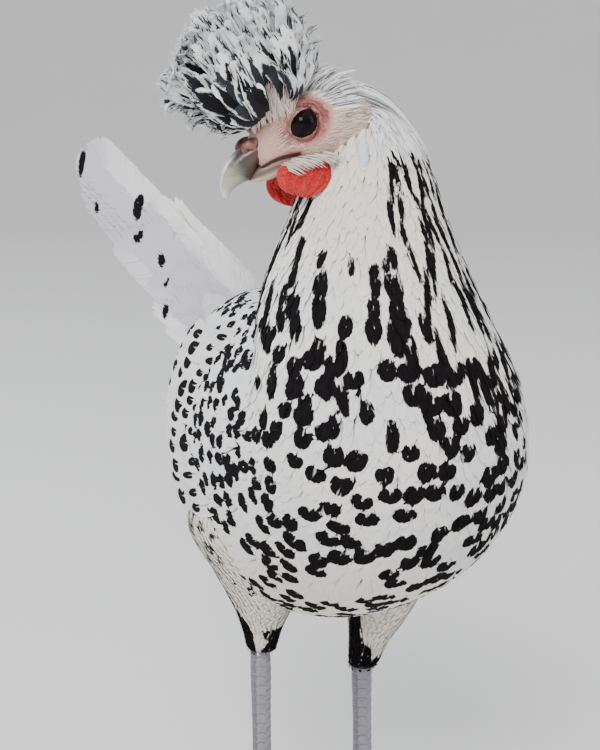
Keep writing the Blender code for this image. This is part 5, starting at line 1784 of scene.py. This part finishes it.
def eye_finish():
    """A near-black pupil in a dark brown iris, under a clear wet coat."""
    r = Recipe("dark_eye", 0.06, Specular_IOR_Level=0.09)
    far = r.attribute("far")
    threads = r.noise(1400.0, 3.0)
    iris = r.mix(threads, (0.004, 0.002, 0.002), (0.011, 0.0045, 0.0035))
    inside = r.mix(r.step(far, 0.42, 0.50), (0.003, 0.003, 0.004), iris)
    r.colour(r.mix(r.step(far, 0.72, 0.80), inside, (0.010, 0.006, 0.005)))
    return r.material


def make_eyes():
    """Balls whose front bulges a little where the cornea is."""
    material = eye_finish()
    for side, name in SIDES:
        centre = in_head(EYE_AT[0], EYE_AT[1] * side, EYE_AT[2])
        (points, faces, uv), way = ball(centre, (LEFT * side, RISE, AHEAD), (EYE_RADIUS,) * 3, 64, 64)
        away = (points - centre) @ (LEFT * side) / EYE_RADIUS
        far = np.sqrt(np.maximum(1 - np.clip(away, -1, 1) ** 2, 0))
        far = np.where(away < 0, 1.0, far)
        points = points + np.outer(0.45 * MM * smooth(0.70, 1.0, away), LEFT * side)
        add_piece("eyeball_" + name, (points, faces, uv), material, "dark_eye", "eye_" + name, far=far)


def red_finish(name, deep, light, scale):
    """Red skin in small round grains, lighter and pinker where low says."""
    r = Recipe(name, 0.45, Subsurface_Weight=0.12, Subsurface_Scale=0.0015, Specular_IOR_Level=0.3)
    grain = r.cells(scale)
    broad = r.noise(220.0, 3.0)
    colour = r.mix(r.attribute("low"), deep, light)
    colour = r.mix(broad * 0.35, colour, tuple((c * 0.55 for c in deep)))
    r.colour(r.mix(r.step(grain, 0.25, 0.75) * 0.16, colour, (0.66, 0.09, 0.075)))
    r.relief(broad - grain, 0.0005, 0.8)
    return r.material


def make_wattles():
    """Hanging folds of red skin: egg sections down a drop, creased by waves that run down and back."""
    level = unit(AHEAD - UP * (AHEAD @ UP))
    rows = np.array((
        (-0.04, 0.0060, 0.0020), (0.14, 0.0098, 0.0019), (0.38, 0.0106, 0.0017), (0.64, 0.0094, 0.0018),
        (0.84, 0.0066, 0.0016), (0.97, 0.0026, 0.0010)))
    material = red_finish("wattle_skin", (0.42, 0.004, 0.006), (0.54, 0.036, 0.034), 1100.0)
    for side, name, deep, long_by, at in (
        (1, "left", 13.4, 1.03, (5.4, -13.0)), (-1, "right", 16.5, 0.96, (4.6, -15.6))
    ):
        root = in_head(at[0] * MM, 0.0085 * side, at[1] * MM)
        q, turn = net(5, 60, 72)
        row = along(rows, q)
        drop, long, thick = row[..., 0], row[..., 1], row[..., 2]
        swing = 3.0 * MM * np.sin(np.pi * np.minimum(drop, 1.0) * 0.8)
        over, outward = sin_cos(turn)
        fold = 0.45 * MM * np.sin(drop * 9 + over * 5.0) * (1 - over**2)
        fold = fold + 0.25 * MM * np.sin(over * 15 - drop * 6)
        rim = 0.5 * MM * hill(np.abs(over), 0.93, 0.18)
        thickness = (thick + rim) * outward + fold * smooth(0.0, 0.3, drop)
        ends = signed_power(over, 0.9)
        rings = (
            root - UP * (deep * MM * drop + 1.5 * MM * over * (0.6 - drop))[..., None]
            + level * (1.5 * MM * drop + long_by * long * ends)[..., None]
            + LEFT * side * (swing + thickness)[..., None]
        )
        low = np.clip(with_hubs(smooth(0.45, 1.0, drop) * 0.8 + 0.4 * hill(over, 1, 0.4), 0.0, 1.0), 0, 1)
        shape = loft(rings, (0.1, 0.3))
        add_piece("wattle_fold_" + name, shape, material, "red_skin", "wattle_" + name, low=low)


def tube_rings(line, radii, sides=28):
    """Round sections square to a line of points."""
    line = np.asarray(line, float)
    way = unit(np.gradient(line, axis=0))
    side = unit(np.cross(way, (0.31, 0.18, 0.93)))
    rise = np.cross(side, way)
    sin, cos = (v[:, None] for v in sin_cos(once_round(sides)))
    return line[:, None] + (cos * side[:, None] + sin * rise[:, None]) * radii[:, None, None]


def make_comb():
    """Two small horns and the bridge between them, round sections along short curves."""
    shapes, low = [], []
    s = np.linspace(0, 1, 26)
    for side in (1, -1):
        root, tip = np.array((0.0150, 0.0030 * side, 0.0062)), np.array((0.0195, 0.0052 * side, 0.0115))
        places = root + np.outer(-0.4 + 1.4 * s, tip - root)
        radii = np.interp(s, (0, 0.5, 0.8, 0.95, 1.0), (2.4, 2.1, 1.5, 0.9, 0.45)) * MM
        radii = radii * (1 + 0.08 * np.sin(s * 21))
        shapes.append(loft(tube_rings(in_head(*places.T), radii), (0.2, 0.3)))
    places = np.stack((np.full(26, 0.0150), (s - 0.5) * 0.006, np.full(26, 0.0072)), -1)
    shapes.append(loft(tube_rings(in_head(*places.T), np.full(26, 1.9 * MM)), (0.2, 0.2)))
    material = red_finish("comb_skin", (0.30, 0.045, 0.04), (0.48, 0.14, 0.12), 1500.0)
    shape = join_shapes(shapes)
    add_piece("comb_horns", shape, material, "red_skin", "comb", low=np.full(len(shape[0]), 0.15))


def outermost(ahead, up, side):
    """How far left, in mm, the outermost skin or coat lies at a place of the head's frame."""
    q, turn = np.meshgrid(np.linspace(0.1, 12.9, 260), np.arange(0, 360, 2.0), indexing="ij")
    places = np.concatenate((coat(q, turn).reshape(-1, 3), head(q * 0.53, turn).reshape(-1, 3)))
    a, l, u = (v / MM for v in head_local(places))
    near = np.hypot(a - ahead, u - up) < 1.6
    return side * (l * side)[near].max()


def make_lobes():
    """Narrow bluish-white earlobes, eggs with shallow creases across."""
    def crease(way):
        """One part in twenty in and out, by a sine across."""
        return 1 + 0.05 * np.sin(way[..., 0] * 11 + way[..., 1] * 3)

    r = Recipe("lobe_skin", 0.55, Subsurface_Weight=0.1, Subsurface_Scale=0.0015)
    fine = r.noise(700.0, 4.0)
    r.colour(r.mix(fine, (0.50, 0.60, 0.66), (0.74, 0.80, 0.82)))
    r.relief(fine, 0.0004, 0.6)
    down = unit(RISE * 0.93 + AHEAD * -0.37)
    axes = (down, unit(np.cross(LEFT, down)), LEFT)
    for side, name in SIDES:
        at = in_head(-0.0148, outermost(-14.8, -18.8, side) * MM - 0.0002 * side, -0.0188)
        shape, _ = ball(at, axes, (0.0074, 0.0021, 0.0016), 44, 36, crease)
        add_piece("lobe_" + name, shape, r.material, "lobe_skin", "earlobe_" + name)


def make_nostrils():
    """A bulb at each side of the bill's root, with a cleft pressed into its lower front."""
    r = Recipe("nostril_skin", 0.45)
    broad = r.noise(500.0, 3.0)
    flesh = r.mix(r.step(broad, 0.35, 0.65), (0.065, 0.022, 0.018), (0.27, 0.105, 0.075))
    # A painted shade: the nostril's cleft darkened where pit says
    r.colour(r.mix(r.attribute("pit"), flesh, (0.02, 0.010, 0.008)))
    r.relief(broad, 0.0008, 0.9)
    for side, name in SIDES:
        at = in_head(0.0205, 0.0043 * side, 0.0002)

        def pit(way):
            """A bell across the cleft times a longer one along it, on the outer side only."""
            lean = way[..., 0] * 0.75 - way[..., 2] * 0.45
            across = way[..., 0] * 0.45 + way[..., 2] * 0.75
            outer = smooth(0.1, 0.5, way[..., 1] * side)
            return hill(lean, 0.52, 0.16) * hill(across + 0.05, 0.0, 0.42) * outer

        axes, radii = (AHEAD, LEFT, RISE), (0.0044, 0.0017, 0.0033)
        shape, way = ball(at, axes, radii, 44, 44, lambda way: 1 - 0.40 * pit(way))
        dark = np.clip(with_hubs(pit(way)) * 1.5, 0, 1)
        add_piece("nostril_" + name, shape, r.material, "face_skin", pit=dark)


# Feathers of the head


def face_finish():
    """Fine cream feathers, or white ones where white says, with a dark middle where streak says."""
    r = Recipe("face_feather", 0.7, Specular_IOR_Level=0.2)
    _, y, x = r.vane()
    tint = r.attribute("tint")
    pale = r.mix(tint, (0.70, 0.58, 0.49), (0.56, 0.43, 0.36))
    white = r.mix(r.step(tint, 0.5, 0.9), (0.80, 0.79, 0.77), (0.56, 0.59, 0.64))
    pale = r.mix(r.attribute("white"), pale, white)
    middle = r.step(x, 0.55, 0.25) * (r.step(y, 0.95, 0.7) * r.step(tint, 0.1, 0.4))
    dark = r.attribute("streak") * (middle * 0.85)
    r.colour(r.mix(dark, pale, (0.045, 0.048, 0.062)))
    return r.material


def head_feathers():
    """Tiny feathers that lie back from the bill: sparse on the face, close on cheek, nape and throat."""
    def low_face(q, turn):
        """The head's skin less 0.8 mm along its way out."""
        return head(q, turn) - way_out(head, np.clip(q, 0.05, 6.95), turn) * 0.8 * MM

    q, turn = scatter(low_face, (0.02, 6.7), (0, 360), lambda q, t: (0.95 + 0.0 * q) * MM, 90000, 81)
    places = low_face(q, turn)
    a, l, u = (v / MM for v in head_local(places))
    draw = np.random.default_rng(82)
    leaned, raised = (a - 0.2) * 0.935 - (u - 0.8) * 0.355, (a - 0.2) * 0.355 + (u - 0.8) * 0.935
    round_eye = np.hypot(leaned / 1.15, raised)
    off_eye = (round_eye > 8.6 + 1.2 * draw.random(len(q)) ** 2) | (np.abs(l) < 6)
    bill_root = (a > 16.0) & (u < 6)
    under_crest = (u > 9.0) & (a > 4)
    behind = smooth(-2, -14, a)
    clear = (off_mouth(a, u) > 1.6) & (off_mouth(a - 2.5, u) > 1.5)
    fore = smooth(4, 12, a) * smooth(6, 2, u)
    keep = off_eye & ~bill_root & ~under_crest & clear & (draw.random(len(q)) < 1 - 0.5 * fore)
    q, turn, a, l, u, behind = (v[keep] for v in (q, turn, a, l, u, behind))
    count = len(q)
    nape = smooth(2, 8, u) * smooth(-4, -12, a)
    length = (3.2 + 3.6 * behind + 1.5 * nape) * MM * draw.uniform(0.75, 1.25, count)
    half = (0.20 + 0.16 * behind + 0.25 * nape) * MM * draw.uniform(0.8, 1.25, count)
    edge = np.minimum(
        np.hypot(a + 11.5 + np.clip(-a - 11.5, 0, 8.9), u + 1.9 + 0.22 * np.clip(-a - 11.5, 0, 8.9)),
        np.hypot(a + 20.0, np.maximum(-9.5 - u, 0) + np.maximum(u + 3.9, 0)),
    )
    edge = (edge < 0.75) & (np.abs(l) > 5)
    stations = np.array((0.0, 0.35, 0.7, 1.0))
    lift = np.array((-0.4, 0.15, 0.35, 0.5)) * MM
    drift = draw.normal(0, 1, count) * 380
    line, face = lay(low_face, q, turn, length, stations, lift, stop=0.0, drift=drift)
    shape = np.array((0.6, 1.0, 0.75, 0.2))
    chance = 0.03 + 0.75 * nape
    streak = np.where(edge | (draw.random(count) < chance), 1.0, 0.0)
    values = feather_values(count, 83, streak=streak, white=nape)
    roots = on_map(0.28 + 0.2 * (q / 7), turn)
    piece = vanes(
        "head_feathers", line, face, half[:, None] * shape, 0.12 * MM, stations, 0.15,
        draw.uniform(-0.2, 0.2, count), roots, values,
    )
    finish(piece, face_finish(), "face_skin")
    start, side = draw.uniform(-3.5, 14.5, 170), by_turns(170)
    high = draw.uniform(-11.5, -9.6, 170) - 0.22 * np.maximum(8 - start, 0)
    s = np.linspace(0, 1, 5)[None, :]
    back = start[:, None] - draw.uniform(3.0, 6.0, 170)[:, None] * s
    left = side[:, None] * (8.3 + 5.6 * np.sin(s * 1.5) + 0 * start[:, None])
    line = in_head(back * MM, left * MM, (high[:, None] - draw.uniform(3.2, 5.8, 170)[:, None] * s**1.3) * MM)
    face = unit(LEFT * side[:, None, None] + RISE * (0.8 - 0.8 * s[..., None]))
    shape = np.array((0.26, 0.24, 0.20, 0.14, 0.05)) * MM
    piece = vanes(
        "wattle_hairs", line, np.broadcast_to(face, line.shape), shape, 0.12 * MM, s[0], 0.1, 0.0, None,
        feather_values(170, 84, streak=0.0, white=0.3),
    )
    finish(piece, face_finish(), "face_skin")


make_skin()
make_bill()
make_nostrils()
make_eyes()
make_comb()
make_wattles()
make_lobes()
head_feathers()
nape_feathers()
crown_feathers()
trunk_feathers()
make_crest()
forehead_strands()
make_tail()
make_wings()
thigh_feathers()
make_legs()

bpy.context.view_layer.update()
